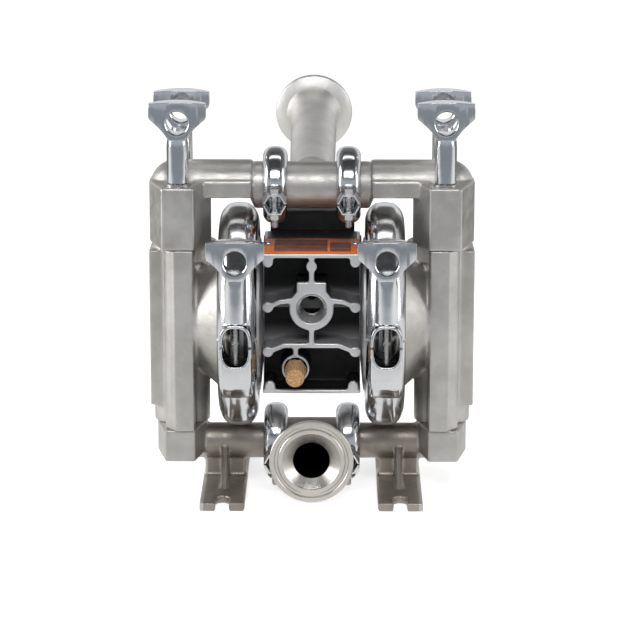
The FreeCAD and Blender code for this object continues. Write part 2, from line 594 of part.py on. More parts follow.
def centre_block():
    front = "-block_half_depth"
    width = ("-block_half_width", "block_half_width")
    port_z = "axis_height + port_rise"
    web_z = "axis_height - lower_web_drop"
    parts = [
        box("block_core", width, (RIB_BACK, "block_half_depth"), (BLOCK_BOTTOM, BLOCK_TOP)),
        box("block_lid_plate", width, (front, RIB_BACK), (BLOCK_TOP + " - block_lid", BLOCK_TOP)),
        box("block_floor_plate", width, (front, RIB_BACK), (BLOCK_BOTTOM, BLOCK_BOTTOM + " + block_floor")),
        front_boss("port_boss", "0", port_z, "port_boss_radius"),
        box("port_lobe", ("-port_bore_radius", "port_bore_radius"), (front, RIB_BACK),
            (port_z, port_z + " + port_lobe_rise")),
        box("top_web", ("-web_wall / 2", "web_wall / 2"), (front, RIB_BACK), (port_z, BLOCK_TOP)),
        front_boss("top_web_boss", "0", BLOCK_TOP + " - top_boss_drop", "rib_boss_radius"),
        box("lower_web_stem", ("-web_wall / 2", "web_wall / 2"), (front, RIB_BACK), (web_z, port_z)),
        front_boss("breather_boss", "-breather_offset", "axis_height - breather_drop",
                   "breather_boss_radius"),
        box("breather_neck", ("-breather_offset - web_wall / 2", "-breather_offset + web_wall / 2"),
            (front, RIB_BACK), ("axis_height - breather_drop", web_z)),
    ]
    for side, sign in LEFT_AND_RIGHT:
        edge = sign + " * block_half_width"
        boss_x = sign + " * rib_boss_offset"
        knee_x = sign + " * web_knee"
        web_end = sign + " * low_web_end"
        side_z = port_z + " + side_boss_rise"
        knee_z = side_z + " + web_knee_rise"
        low_z = web_z + " - low_boss_drop"
        floor_x = sign + " * floor_boss_offset"
        floor_z = BLOCK_BOTTOM + " + floor_boss_rise"
        lid_z = BLOCK_TOP + " - lid_boss_drop"
        parts += [
            front_boss("side_boss_" + side, boss_x, side_z, "rib_boss_radius"),
            rib_bar("side_stub_" + side, (boss_x, side_z), (edge, side_z), "web_wall"),
            rib_bar("side_rise_" + side, (boss_x, side_z), (knee_x, knee_z), "web_wall"),
            rib_bar("side_web_" + side, (knee_x, knee_z), ("0", side_z + " + web_crest_rise"), "web_wall"),
            front_boss("low_boss_" + side, boss_x, low_z, "rib_boss_radius"),
            rib_bar("low_stub_" + side, (boss_x, low_z), (edge, low_z), "web_wall"),
            rib_bar("low_rise_" + side, (boss_x, low_z), (web_end, web_z), "web_wall"),
            rib_bar("low_web_" + side, (web_end, web_z), ("0", web_z), "web_wall"),
            front_boss("lid_boss_" + side, boss_x, lid_z, "rib_boss_radius"),
            box("lid_pad_" + side, (boss_x + " - rib_boss_radius", boss_x + " + rib_boss_radius"),
                (front, RIB_BACK), (lid_z, BLOCK_TOP)),
            front_boss("floor_boss_" + side, floor_x, floor_z, "rib_boss_radius"),
            box("floor_pad_" + side, (floor_x + " - rib_boss_radius", floor_x + " + rib_boss_radius"),
                (front, RIB_BACK), (BLOCK_BOTTOM, floor_z)),
        ]
    solid = joined("block_casting", parts)
    bush_radius = "shaft_radius + bush_wall + slide_gap"
    valve_wall = "block_half_depth - rear_pocket_depth"
    tools = [
        cylinder("shaft_bore", bush_radius, "2 * block_half_width",
                 ("-block_half_width", "0", "axis_height"), "x"),
        cylinder("pilot_bore", "pilot_radius + slide_gap", "2 * block_half_width",
                 ("-block_half_width", "pilot_rearward", "axis_height - pilot_drop"), "x"),
        cylinder("port_bore", "port_bore_radius", "port_bore_depth", ("0", front, port_z), "y"),
        cylinder("air_passage", "passage_radius", "2 * block_half_depth",
                 ("0", front, PASSAGE_HEIGHT), "y"),
        cylinder("breather_recess", "breather_collar_radius + free_gap / 3", "breather_collar_radius",
                 ("-breather_offset", front, "axis_height - breather_drop"), "y"),
        cylinder("breather_bore", "breather_thread_radius", "rib_depth + breather_bore_past",
                 ("-breather_offset", front, "axis_height - breather_drop"), "y"),
    ]
    for side, sign in LEFT_AND_RIGHT:
        near = sign + " * web_wall / 2"
        far = sign + " * (block_half_width - web_wall)"
        across = (far, near) if sign == "-1" else (near, far)
        tools.append(box("rear_pocket_" + side, across, (valve_wall, "block_half_depth"),
                         (BLOCK_BOTTOM + " + block_floor", "axis_height - rear_pocket_drop")))
        tools.append(cylinder("plate_screw_hole_" + side, "plate_screw_radius",
                              "block_lid + 2 * plate_screw_depth",
                              (sign + " * plate_screw_offset", front + " + plate_screw_back",
                               BLOCK_TOP + " - block_lid - 2 * plate_screw_depth")))
    for side, sign in LEFT_AND_RIGHT:
        for level, height in (("high", VALVE_SCREW_HIGH), ("low", VALVE_SCREW_LOW)):
            tools.append(cylinder("valve_screw_hole_" + side + level, "valve_screw_radius",
                                  "valve_screw_grip",
                                  (sign + " * " + VALVE_SCREW_OFFSET, "block_half_depth - valve_screw_grip",
                                   height), "y"))
    return cut("block_machined", solid, tools)


VALVE_SCREW_OFFSET = "(valve_half_width - valve_screw_inset)"
VALVE_SCREW_HIGH = "(axis_height + block_rise - valve_screw_inset)"
VALVE_SCREW_LOW = "(axis_height + valve_foot + valve_screw_inset)"
finish(centre_block(), "centre_block")


# Air chambers: dished plates between the block and the diaphragms
def air_chamber(name):
    face = "(band_offset - rim_half)"
    back = "block_half_width"
    points = [
        (back, "shaft_radius + free_gap"),
        (back, "chamber_pad"),
        (back + " + chamber_dish", "rim_inner - chamber_land"),
        (face + " - flange_root", "flange_neck"),
        (face + " - flange_rim", "flange_radius"),
        (face, "flange_radius"),
        (face, "rim_inner"),
        (back + " + chamber_wall + chamber_step", "rim_inner - chamber_lip"),
        (back + " + chamber_wall", "rim_inner - chamber_lip - chamber_slope"),
        (back + " + chamber_wall", "shaft_radius + free_gap"),
    ]
    dish = turned(name + "_dish", "x", points, ("0", "0", "axis_height"))
    hole = cylinder(name + "_pilot_hole", "pilot_radius + free_gap", "2 * chamber_wall",
                    (back + " - chamber_wall / 2", "pilot_rearward", "axis_height - pilot_drop"), "x")
    return cut(name + "_drilled", dish, [hole])


right_air_chamber = air_chamber("air_chamber")
finish(right_air_chamber, "air_chamber_right")
finish(mirrored("air_chamber_mirror", right_air_chamber), "air_chamber_left")


# Diaphragms with their clamped rim, rolling wave and hub
def diaphragm(name):
    near = "(band_offset - rim_half)"
    far = "(band_offset + rim_half)"
    points = [
        (near, "stud_radius"),
        (near, "diaphragm_flat", "-diaphragm_wave"),
        (near, "rim_inner"),
        (near, "flange_radius - free_gap"),
        (far, "flange_radius - free_gap"),
        (far, "rim_inner", "diaphragm_wave"),
        (far, "diaphragm_flat"),
        (far, "stud_radius"),
    ]
    return turned(name, "x", points, ("0", "0", "axis_height"))


right_diaphragm = diaphragm("diaphragm")
finish(right_diaphragm, "diaphragm_right")
finish(mirrored("diaphragm_mirror", right_diaphragm), "diaphragm_left")


# Main shaft with its pistons
def main_shaft():
    shoulder = PISTON_BACK
    end = "(band_offset + rim_half + cap_thickness - cap_floor)"
    points = [
        ("-" + end, "0"),
        ("-" + end, "stud_radius"),
        ("-" + shoulder, "stud_radius"),
        ("-" + shoulder, "shaft_radius"),
        (shoulder, "shaft_radius"),
        (shoulder, "stud_radius"),
        (end, "stud_radius"),
        (end, "0"),
    ]
    return turned("shaft_body", "x", points, ("0", "0", "axis_height"))


def inner_piston(name):
    face = "(band_offset - rim_half)"
    points = [
        (PISTON_BACK, "stud_radius"),
        (PISTON_BACK, "piston_radius - piston_bevel", "-piston_bevel"),
        (PISTON_BACK + " + piston_bevel", "piston_radius"),
        (face, "piston_radius"),
        (face, "stud_radius"),
    ]
    return turned(name, "x", points, ("0", "0", "axis_height"))


def outer_piston(name):
    face = "(band_offset + rim_half)"
    end = "(band_offset + rim_half + cap_thickness)"
    points = [
        (face, "stud_radius"),
        (face, "cap_radius"),
        (face + " + cap_floor", "cap_radius", "cap_crown"),
        (end, "cap_flat_radius"),
        (end, "0"),
        (end + " - cap_floor", "0"),
        (end + " - cap_floor", "stud_radius"),
    ]
    return turned(name, "x", points, ("0", "0", "axis_height"))


finish(main_shaft(), "main_shaft")
right_inner = inner_piston("inner_piston")
finish(right_inner, "inner_piston_right")
finish(mirrored("inner_piston_mirror", right_inner), "inner_piston_left")
right_outer = outer_piston("outer_piston")
finish(right_outer, "outer_piston_right")
finish(mirrored("outer_piston_mirror", right_outer), "outer_piston_left")


# Bushes and seals that carry the shaft in the block
def shaft_rings(name, wall, length, inset):
    rings = []
    for side, sign in LEFT_AND_RIGHT:
        start = sign + " * (block_half_width - " + inset + " - " + length + " / 2) - " + length + " / 2"
        base = (start, "0", "axis_height")
        outer = cylinder(name + "_outer_" + side, "shaft_radius + " + wall, length, base, "x")
        inner = cylinder(name + "_inner_" + side, "shaft_radius + slide_gap", length, base, "x")
        rings.append(cut(name + "_" + side, outer, [inner]))
    return group(name + "_pair", rings)


finish(shaft_rings("shaft_bush", "bush_wall", "bush_length", "bush_inset"), "shaft_bushes")
finish(shaft_rings("shaft_seal", "seal_wall", "seal_length", "seal_inset"), "shaft_seals")
finish(
    cylinder("pilot_rod", "pilot_radius", "2 * " + PILOT_HALF,
             ("-" + PILOT_HALF, "pilot_rearward", "axis_height - pilot_drop"), "x"),
    "pilot_spool",
)


# Liquid chambers: bowl, valve column, tie rod ribs and passages in one casting
def liquid_chamber():
    face = "(band_offset + rim_half)"
    bowl = [
        (face, "0"),
        (face, "flange_radius"),
        (face + " + flange_rim", "flange_radius"),
        (face + " + flange_root", "flange_neck"),
        (face + " + flange_root + dome_fillet", "dome_radius"),
        ("dome_tip - dome_fillet", "dome_tip_radius", "dome_round"),
        ("dome_tip", "dome_tip_radius - dome_fillet"),
        ("dome_tip", "0"),
    ]
    hollow = [
        (face, "0"),
        (face, "rim_inner"),
        (face + " + cavity_mouth", "rim_inner - cavity_mouth"),
        (CAVITY_END, "cavity_radius"),
        (CAVITY_END, "0"),
    ]
    height = "column_top + column_bottom"
    column = ("column_offset", "0", CHAMBER_BOTTOM)
    parts = [
        turned("bowl", "x", bowl, ("0", "0", "axis_height")),
        cylinder("column", "column_radius", height, column),
        box("column_pad", ("column_offset", "column_offset + pad_reach"),
            ("-pad_half_depth", "pad_half_depth"),
            ("axis_height - pad_bottom", "axis_height + pad_top")),
        cylinder("column_collar", "collar_radius", "collar_height",
                 ("column_offset - collar_shift", "0", CHAMBER_TOP + " - collar_height")),
    ]
    for place_name, sign in FRONT_AND_REAR:
        rod_y = sign + " * rod_offset"
        face_y = sign + " * (rod_offset + rod_boss_radius + facet_proud)"
        near_y = sign + " * (rod_offset - rod_boss_radius)"
        across = (face_y, near_y) if sign == "-1" else (near_y, face_y)
        parts.append(cylinder("rod_boss_" + place_name, "rod_boss_radius", height,
                              ("column_offset", rod_y, CHAMBER_BOTTOM)))
        parts.append(box("rod_facet_" + place_name,
                         ("column_offset - facet_near", "column_offset + facet_far"),
                         across, (CHAMBER_BOTTOM, CHAMBER_TOP)))
    casting = joined("chamber_casting", parts)
    low_z = "axis_height - crossing_offset"
    high_z = "axis_height + crossing_offset"
    tools = [
        turned("cavity", "x", hollow, ("0", "0", "axis_height")),
        cylinder("low_seat_pocket", "seat_radius", "seat_thickness", column),
        cylinder("low_cage", "ball_radius + cage_gap", CAGE_HEIGHT, column),
        cylinder("low_waterway", "waterway_radius", "column_bottom - crossing_offset + waterway_radius",
                 column),
        cylinder("high_waterway", "waterway_radius", "column_top - crossing_offset + waterway_radius",
                 ("column_offset", "0", high_z + " - waterway_radius")),
        cylinder("low_crossing", "crossing_radius", "column_offset + 1 - " + CAVITY_END,
                 (CAVITY_END + " - 1", "0", low_z), "x"),
        cylinder("high_crossing", "crossing_radius", "column_offset + 1 - " + CAVITY_END,
                 (CAVITY_END + " - 1", "0", high_z), "x"),
    ]
    for place_name, sign in FRONT_AND_REAR:
        tools.append(cylinder("chamber_rod_hole_" + place_name, "rod_radius + free_gap", height,
                              ("column_offset", sign + " * rod_offset", CHAMBER_BOTTOM)))
    return cut("chamber_machined", casting, tools)


right_liquid_chamber = liquid_chamber()
finish(right_liquid_chamber, "liquid_chamber_right")
finish(mirrored("chamber_mirror", right_liquid_chamber), "liquid_chamber_left")


# Large clamp bands in two halves, with a bowed window frame at the front
def window_frame(name, grow, depth):
    """Bowed frame outline seen from the front, grown outwards by a formula."""
    half_flat = "(band_window_width / 2 + " + grow + " / 2)"
    half_tall = "(band_window_half + " + grow + ")"
    points = [
        ("-" + half_flat, half_tall),
        (half_flat, half_tall, "(band_window_bow + " + grow + ")"),
        (half_flat, "-" + half_tall),
        ("-" + half_flat, "-" + half_tall, "(band_window_bow + " + grow + ")"),
    ]
    return plate(name, "XZ_Plane", points, depth,
                 ("band_offset", "-band_lug_forward", "axis_height - band_lug_drop"))


def band_section(name):
    """Closed ring of the clamp band, before it is split."""
    rim = "(rim_half + flange_rim + band_gap)"
    root = "(rim_half + flange_root + band_gap)"
    points = [
        ("band_offset - band_half_width", "band_lip_radius"),
        ("band_offset - band_half_width", "band_shoulder", "band_flank_radius"),
        ("band_offset - band_crown_half + band_crown_inset", "band_radius"),
        ("band_offset + band_crown_half - band_crown_inset", "band_radius", "band_flank_radius"),
        ("band_offset + band_half_width", "band_shoulder"),
        ("band_offset + band_half_width", "band_lip_radius"),
        ("band_offset + " + root, "band_lip_radius"),
        ("band_offset + " + rim, "flange_radius + band_gap"),
        ("band_offset - " + rim, "flange_radius + band_gap"),
        ("band_offset - " + root, "band_lip_radius"),
    ]
    return turned(name, "x", points, ("0", "0", "axis_height"))


def band_half(name, upper):
    split = "axis_height - band_lug_drop"
    tall = "2 * band_radius"
    width = ("band_offset - 2 * band_half_width", "band_offset + 2 * band_half_width")
    deep = ("-2 * band_radius", "2 * band_radius")
    if upper:
        half_space = box(name + "_space", width, deep, (split + " + band_split / 2", split + " + " + tall))
    else:
        half_space = box(name + "_space", width, deep, (split + " - " + tall, split + " - band_split / 2"))
    parts = [band_section(name + "_ring"), window_frame(name + "_frame", "0", "band_lug_depth")]
    if not upper:
        back = "-(band_lug_forward - band_lug_depth)"
        front = "-(band_lug_forward + band_lug_depth / 2)"
        top = split + " - band_window_half + band_window_wall"
        lug = [
            (back, top),
            (back, top + " - 2 * band_foot_drop"),
            (front, top + " - band_foot_drop"),
            (front, top),
        ]
        parts.append(plate(name + "_lug", "YZ_Plane", lug, "band_window_width + 2 * band_bar_over",
                           ("band_offset", "0", "0")))
    solid = joined(name + "_solid", parts)
    kept = overlap(name + "_kept", solid, half_space)
    tools = [
        window_frame(name + "_window", "-band_window_wall", "band_lug_depth + 2"),
        cylinder(name + "_stud_hole", "band_stud_radius + free_gap", "3 * band_window_half",
                 ("band_offset", "-band_lug_forward", split + " - 1.5 * band_window_half")),
    ]
    if not upper:
        tools.append(cylinder(name + "_tee_hole", "band_tee_radius + free_gap", "2 * band_window_width",
                              ("band_offset - band_window_width", "-band_lug_forward", TEE_HEIGHT), "x"))
    return cut(name + "_cut", kept, tools)


TEE_HEIGHT = "(axis_height - band_lug_drop - band_window_half - band_tee_radius)"
WING_BASE_BAND = "(axis_height - band_lug_drop + band_window_half)"
for upper, word in ((True, "upper"), (False, "lower")):
    right_half = band_half("band_" + word, upper)
    finish(right_half, "large_clamp_right_" + word)
    finish(mirrored("band_mirror_" + word, right_half), "large_clamp_left_" + word)


def tee_bolt(name):
    stud = cylinder(name + "_stud", "band_stud_radius",
                    WING_BASE_BAND + " + wing_thread_depth - band_stud_short - " + TEE_HEIGHT,
                    ("band_offset", "-band_lug_forward", TEE_HEIGHT))
    bar = cylinder(name + "_bar", "band_tee_radius", "band_window_width + 2 * band_bar_over",
                   ("band_offset - band_window_width / 2 - band_bar_over", "-band_lug_forward",
                    TEE_HEIGHT), "x")
    return joined(name + "_body", [stud, bar])


right_tee = tee_bolt("tee_bolt")
finish(right_tee, "large_clamp_bolt_right")
finish(mirrored("tee_mirror", right_tee), "large_clamp_bolt_left")


# Wing nuts: a barrel that widens into a flat crowned head with a cross hole
def wing_nut(name, base, bore_radius):
    half_span = "(wing_span / 2)"
    head = [
        ("-wing_barrel_radius", "wing_neck"),
        ("wing_barrel_radius", "wing_neck", "wing_flank_radius"),
        (half_span, "wing_corner"),
        (half_span, "wing_side_top", "-wing_crown_radius"),
        ("-" + half_span, "wing_side_top"),
        ("-" + half_span, "wing_corner", "wing_flank_radius"),
    ]
    half_end = "(wing_end_thickness / 2)"
    bulge = "(wing_thickness / 2 - wing_end_thickness / 2)"
    lens_radius = "((wing_span / 2) ^ 2 + " + bulge + " ^ 2) / (2 * " + bulge + ")"
    lens = [
        ("-" + half_span, "-" + half_end, "-(" + lens_radius + ")"),
        (half_span, "-" + half_end),
        (half_span, half_end, "-(" + lens_radius + ")"),
        ("-" + half_span, half_end),
    ]
    head_plate = plate(name + "_head", "XZ_Plane", head, "wing_thickness")
    lens_plate = plate(name + "_lens", "XY_Plane", lens, "2 * wing_span", ("0", "0", "wing_corner"))
    shared = head_plate.newObject("PartDesign::Boolean", name + "_shared")
    shared.Type = "Common"
    shared.Group = [lens_plate]
    head_plate.Tip = shared
    head_plate.recompute(True)
    rim_edges = []
    for number, edge in enumerate(shared.Shape.Edges, start=1):
        if edge.BoundBox.XLength < 1e-3 and edge.BoundBox.ZLength > 1:
            rim_edges.append("Edge" + str(number))
    bevel = head_plate.newObject("PartDesign::Chamfer", name + "_bevel")
    bevel.Base = (shared, rim_edges)
    bind(bevel, Size="wing_bevel")
    barrel = cylinder(name + "_barrel", "wing_barrel_radius", "wing_corner - wing_barrel_inset")
    hole = cylinder(name + "_hole", "wing_hole_radius", "2 * wing_thickness",
                    ("0", "-wing_thickness", "wing_hole_height"), "y")
    bore = cylinder(name + "_bore", bore_radius, "wing_thread_depth")
    solid = joined(name + "_solid", [head_plate, barrel])
    thing = cut(name + "_cut", solid, [hole, bore])
    return place(thing, base)


for side, sign in LEFT_AND_RIGHT:
    finish(
        wing_nut("band_wing_" + side, (sign + " * band_offset", "-band_lug_forward", WING_BASE_BAND),
                 "band_stud_radius + slide_gap"),
        "large_clamp_wing_nut_" + side,
    )
    for place_name, depth_sign in FRONT_AND_REAR:
        finish(
            wing_nut("rod_wing_" + side + place_name,
                     (sign + " * column_offset", depth_sign + " * rod_offset",
                      ELBOW_TOP + " + washer_thickness"),
                     "rod_radius + slide_gap"),
            "tie_rod_wing_nut_" + place_name + "_" + side,
        )


# Tie rods and washers, one at each corner
rods = []
washers = []
for side, sign in LEFT_AND_RIGHT:
    for place_name, depth_sign in FRONT_AND_REAR:
        corner = side + "_" + place_name
        spot = (sign + " * column_offset", depth_sign + " * rod_offset")
        rods.append(cylinder("rod_" + corner, "rod_radius",
                             ELBOW_TOP + " + washer_thickness + rod_grip - foot_block_bottom - rod_anchor",
                             spot + ("foot_block_bottom + rod_anchor",)))
        disc = cylinder("washer_disc_" + corner, "washer_radius", "washer_thickness", spot + (ELBOW_TOP,))
        eye = cylinder("washer_eye_" + corner, "rod_radius + free_gap", "washer_thickness",
                       spot + (ELBOW_TOP,))
        washers.append(cut("washer_" + corner, disc, [eye]))
finish(group("rod_group", rods), "tie_rods")
finish(group("washer_group", washers), "tie_rod_washers")


# Discharge elbows: two bolt block, arched run and small ferrule
def block_outline(half_front, half_side, half_depth, side_flat):
    return [
        ("-" + half_front, "-" + half_depth),
        (half_front, "-" + half_depth),
        (half_side, "-" + side_flat),
        (half_side, side_flat),
        (half_front, half_depth),
        ("-" + half_front, half_depth),
        ("-" + half_side, side_flat),
        ("-" + half_side, "-" + side_flat),
    ]


def ferrule(name, neck, z, face):
    """Small ferrule on an X pipe: its flat face is on the side of the middle."""
    points = [
        (face, "0"),
        (face, "ferrule_radius"),
        (face + " + ferrule_rim", "ferrule_radius"),
        (face + " + ferrule_rim + ferrule_taper", neck),
        (face + " + ferrule_rim + ferrule_taper + ferrule_root", neck),
        (face + " + ferrule_rim + ferrule_taper + ferrule_root", "0"),
    ]
    return turned(name, "x", points, ("0", "0", z))


def discharge_elbow():
    block_points = block_outline("elbow_half_front", "elbow_half_side", "elbow_half_depth",
                                 "elbow_side_flat")
    tall = "elbow_top - column_top"
    block = plate("discharge_block", "XY_Plane", block_points, tall,
                  ("column_offset", "0", CHAMBER_TOP + " + (" + tall + ") / 2"))
    turn_x = "(column_offset + run_turn)"
    bullet = [
        ("hub_start", "0"),
        ("hub_start", "run_radius"),
        (turn_x, "run_radius", "run_radius"),
        (turn_x + " + run_radius", "0"),
    ]
    above = box("discharge_run_space", ("hub_start", turn_x + " + run_radius"),
                ("-run_radius", "run_radius"),
                (TOP_AXIS + " - run_floor", TOP_AXIS + " + run_radius"))
    run = overlap("discharge_run", turned("discharge_bullet", "x", bullet, ("0", "0", TOP_AXIS)), above)
    plates = box("discharge_side_plates", ("hub_start", "column_offset - elbow_half_front"),
                 ("-run_radius - run_plate_proud", "run_radius + run_plate_proud"),
                 (TOP_AXIS + " - run_floor", TOP_AXIS + " + run_plate_rise"))
    flare = cone("discharge_flare", "ferrule_neck", "waterway_radius", "2 * hub_flare",
                 ("hub_start - hub_flare", "0", TOP_AXIS), "x")
    face = "clamp_offset + gasket_thickness / 2"
    collar = ferrule("discharge_ferrule", "ferrule_neck", TOP_AXIS, face)
    hub = cylinder("discharge_hub", "ferrule_neck", "hub_start - hub_flare - clamp_offset - hub_inset",
                   ("clamp_offset + hub_inset", "0", TOP_AXIS), "x")
    casting = joined("discharge_casting", [block, run, plates, flare, collar, hub])
    base = ("column_offset", "0", CHAMBER_TOP)
    tools = [
        cylinder("high_seat_pocket", "seat_radius", "seat_thickness", base),
        cylinder("high_cage", "ball_radius + cage_gap", CAGE_HEIGHT, base),
        cylinder("high_shaft", "waterway_radius", "manifold_rise + run_bore_rise - column_top", base),
        cylinder("run_bore", "waterway_radius", "column_offset - clamp_offset - hub_inset",
                 ("clamp_offset + hub_inset", "0", TOP_AXIS + " + run_bore_rise"), "x"),
        cylinder("discharge_ferrule_bore", "manifold_bore", "ferrule_bore_depth",
                 ("clamp_offset", "0", TOP_AXIS), "x"),
    ]
    for place_name, sign in FRONT_AND_REAR:
        tools.append(cylinder("elbow_rod_hole_" + place_name, "rod_radius + free_gap", "manifold_rise",
                              ("column_offset", sign + " * rod_offset", CHAMBER_TOP)))
    return cut("discharge_machined", casting, tools)


right_discharge = discharge_elbow()
finish(right_discharge, "discharge_elbow_right")
finish(mirrored("discharge_mirror", right_discharge), "discharge_elbow_left")


# Inlet elbows: two bolt block, pipe, small ferrule and foot
def inlet_elbow():
    tall = "(axis_height - column_bottom - foot_block_bottom)"
    points = block_outline("foot_block_half_front", "foot_block_half_side", "foot_block_half_depth",
                           "elbow_side_flat")
    block = plate("inlet_block", "XY_Plane", points, tall,
                  ("column_offset", "0", "foot_block_bottom + " + tall + " / 2"))
    pipe = cylinder("inlet_pipe", "inlet_pipe_radius", "column_offset - clamp_offset - ferrule_root",
                    ("clamp_offset + ferrule_root", "0", LOW_AXIS), "x")
    face = "clamp_offset + gasket_thickness / 2"
    collar = ferrule("inlet_ferrule", "inlet_pipe_radius", LOW_AXIS, face)
    foot = box("foot_pad", ("foot_offset - foot_width / 2", "foot_offset + foot_width / 2"),
               ("-foot_half_length", "foot_half_length"), ("0", "foot_thickness"))
    pedestal = box("foot_pedestal", ("foot_offset - pedestal_width / 2", "foot_offset + pedestal_width / 2"),
                   ("-pedestal_half_depth", "pedestal_half_depth"), ("0", LOW_AXIS))
    gusset_points = [
        ("-gusset_reach", "foot_thickness - gusset_root"),
        ("gusset_reach", "foot_thickness - gusset_root"),
        ("gusset_reach", "foot_thickness"),
        ("inlet_pipe_radius - gusset_inset", LOW_AXIS),
        ("-(inlet_pipe_radius - gusset_inset)", LOW_AXIS),
        ("-gusset_reach", "foot_thickness"),
    ]
    gusset = plate("foot_gusset", "YZ_Plane", gusset_points, "gusset_width", ("foot_offset", "0", "0"))
    casting = joined("inlet_casting", [block, pipe, collar, foot, pedestal, gusset])
    tools = [
        cylinder("inlet_drop", "waterway_radius", "manifold_rise - column_bottom",
                 ("column_offset", "0", LOW_AXIS)),
        cylinder("inlet_run", "waterway_radius", "column_offset - clamp_offset",
                 ("clamp_offset", "0", LOW_AXIS), "x"),
        sphere("inlet_turn", "waterway_radius", ("column_offset", "0", LOW_AXIS)),
    ]
    for place_name, sign in FRONT_AND_REAR:
        tools.append(cylinder("inlet_rod_hole_" + place_name, "rod_radius", "manifold_rise",
                              ("column_offset", sign + " * rod_offset", "foot_block_bottom + rod_anchor")))
        tools.append(cylinder("slot_round_" + place_name, "slot_radius", "2 * foot_thickness",
                              ("foot_offset", sign + " * (slot_end + slot_radius)", "-foot_thickness / 2")))
        inner = sign + " * (slot_end + slot_radius)"
        outer = sign + " * (foot_half_length + 1)"
        across = (outer, inner) if sign == "-1" else (inner, outer)
        tools.append(box("slot_mouth_" + place_name,
                         ("foot_offset - slot_radius", "foot_offset + slot_radius"),
                         across, ("-foot_thickness / 2", "foot_thickness * 1.5")))
    return cut("inlet_machined", casting, tools)


right_inlet = inlet_elbow()
finish(right_inlet, "inlet_elbow_right")
finish(mirrored("inlet_mirror", right_inlet), "inlet_elbow_left")


# Tees with their run between two small clamps and one port each
def tee_run(name, z):
    """Run of a tee: both small ferrules face outwards."""
    half = "(clamp_offset - gasket_thickness / 2)"
    points = [
        ("-" + half, "0"),
        ("-" + half, "ferrule_radius"),
        ("-" + half + " + ferrule_rim", "ferrule_radius"),
        ("-" + half + " + ferrule_rim + ferrule_taper", "tee_radius"),
        (half + " - ferrule_rim - ferrule_taper", "tee_radius"),
        (half + " - ferrule_rim", "ferrule_radius"),
        (half, "ferrule_radius"),
        (half, "0"),
    ]
    return turned(name, "x", points, ("0", "0", z))


def port_ferrule_points(reach):
    """Outline of a port ferrule's outside, from its flat face inwards."""
    return [
        (reach, "0"),
        (reach, "port_ferrule_radius"),
        (reach + " - port_ferrule_rim", "port_ferrule_radius"),
        (reach + " - port_ferrule_rim - port_ferrule_taper", "port_neck_radius"),
    ]


def port_bore(name, reach, base, turn):
    """Bore of a port, with its shallow mouth."""
    points = [
        ("-port_root", "0"),
        ("-port_root", "port_throat_radius"),
        (reach + " - port_mouth_depth", "port_throat_radius"),
        (reach, "port_mouth_radius"),
        (reach, "0"),
    ]
    return turned(name, "y", points, base, turn)


def tee(name, z, port, reach, turn):
    run = tee_run(name + "_run", z)
    body = joined(name + "_casting", [run, port])
    bore = port_bore(name + "_port_bore", reach, ("0", "0", z), turn)
    through = cylinder(name + "_run_bore", "manifold_bore", "2 * clamp_offset", ("-clamp_offset", "0", z),
                       "x")
    return cut(name + "_machined", body, [bore, through])


def groove_cutter(name, reach, z, turn):
    """Round gasket groove in the face of a port."""
    half = "groove_section"
    points = [
        (reach + " - groove_depth", "groove_radius - " + half),
        (reach + " - groove_depth", "groove_radius + " + half),
        (reach + " + groove_depth", "groove_radius + " + half),
        (reach + " + groove_depth", "groove_radius - " + half),
    ]
    return turned(name, "y", points, ("0", "0", z), turn)


FACING_FRONT = FreeCAD.Rotation(FreeCAD.Vector(0, 0, 1), 180)
RISING_REAR = FreeCAD.Rotation(FreeCAD.Vector(1, 0, 0), amount_of("outlet_tilt"))
inlet_port_points = port_ferrule_points("inlet_reach") + [
    ("inlet_reach - port_ferrule_rim - port_ferrule_taper - inlet_flare", "inlet_hub_radius"),
    ("port_root", "inlet_hub_radius"),
    ("port_root", "0"),
]
inlet_port = turned("inlet_port_body", "y", inlet_port_points, ("0", "0", LOW_AXIS), FACING_FRONT)
inlet_tee = tee("inlet_tee", LOW_AXIS, inlet_port, "inlet_reach", FACING_FRONT)
finish(
    cut("inlet_tee_grooved", inlet_tee,
        [groove_cutter("inlet_groove", "inlet_reach", LOW_AXIS, FACING_FRONT)]),
    "inlet_tee",
)
outlet_port_points = port_ferrule_points("outlet_reach") + [
    ("outlet_reach - port_ferrule_rim - port_ferrule_taper - outlet_flare", "outlet_end_radius"),
    ("tee_radius", "outlet_root_radius"),
    ("port_root", "outlet_root_radius"),
    ("port_root", "0"),
]
outlet_port = turned("outlet_port_body", "y", outlet_port_points, ("0", "0", TOP_AXIS), RISING_REAR)
outlet_tee = tee("outlet_tee", TOP_AXIS, outlet_port, "outlet_reach", RISING_REAR)
finish(
    cut("outlet_tee_grooved", outlet_tee,
        [groove_cutter("outlet_groove", "outlet_reach", TOP_AXIS, RISING_REAR)]),
    "discharge_tee",
)


# Manifold gaskets between the ferrules
gaskets = []
for level, z in (("top", TOP_AXIS), ("low", LOW_AXIS)):
    for side, sign in LEFT_AND_RIGHT:
        start = sign + " * clamp_offset - gasket_thickness / 2"
        disc = cylinder("gasket_disc_" + level + side, "ferrule_radius - free_gap", "gasket_thickness",
                        (start, "0", z), "x")
        eye = cylinder("gasket_eye_" + level + side, "manifold_bore", "gasket_thickness", (start, "0", z),
                       "x")
        gaskets.append(cut("gasket_" + level + side, disc, [eye]))
finish(group("gasket_group", gaskets), "manifold_gaskets")


# Small clamps: two halves with a hexagonal window frame at each end
TILTED = FreeCAD.Rotation(FreeCAD.Vector(1, 0, 0), amount_of("clamp_tilt"))


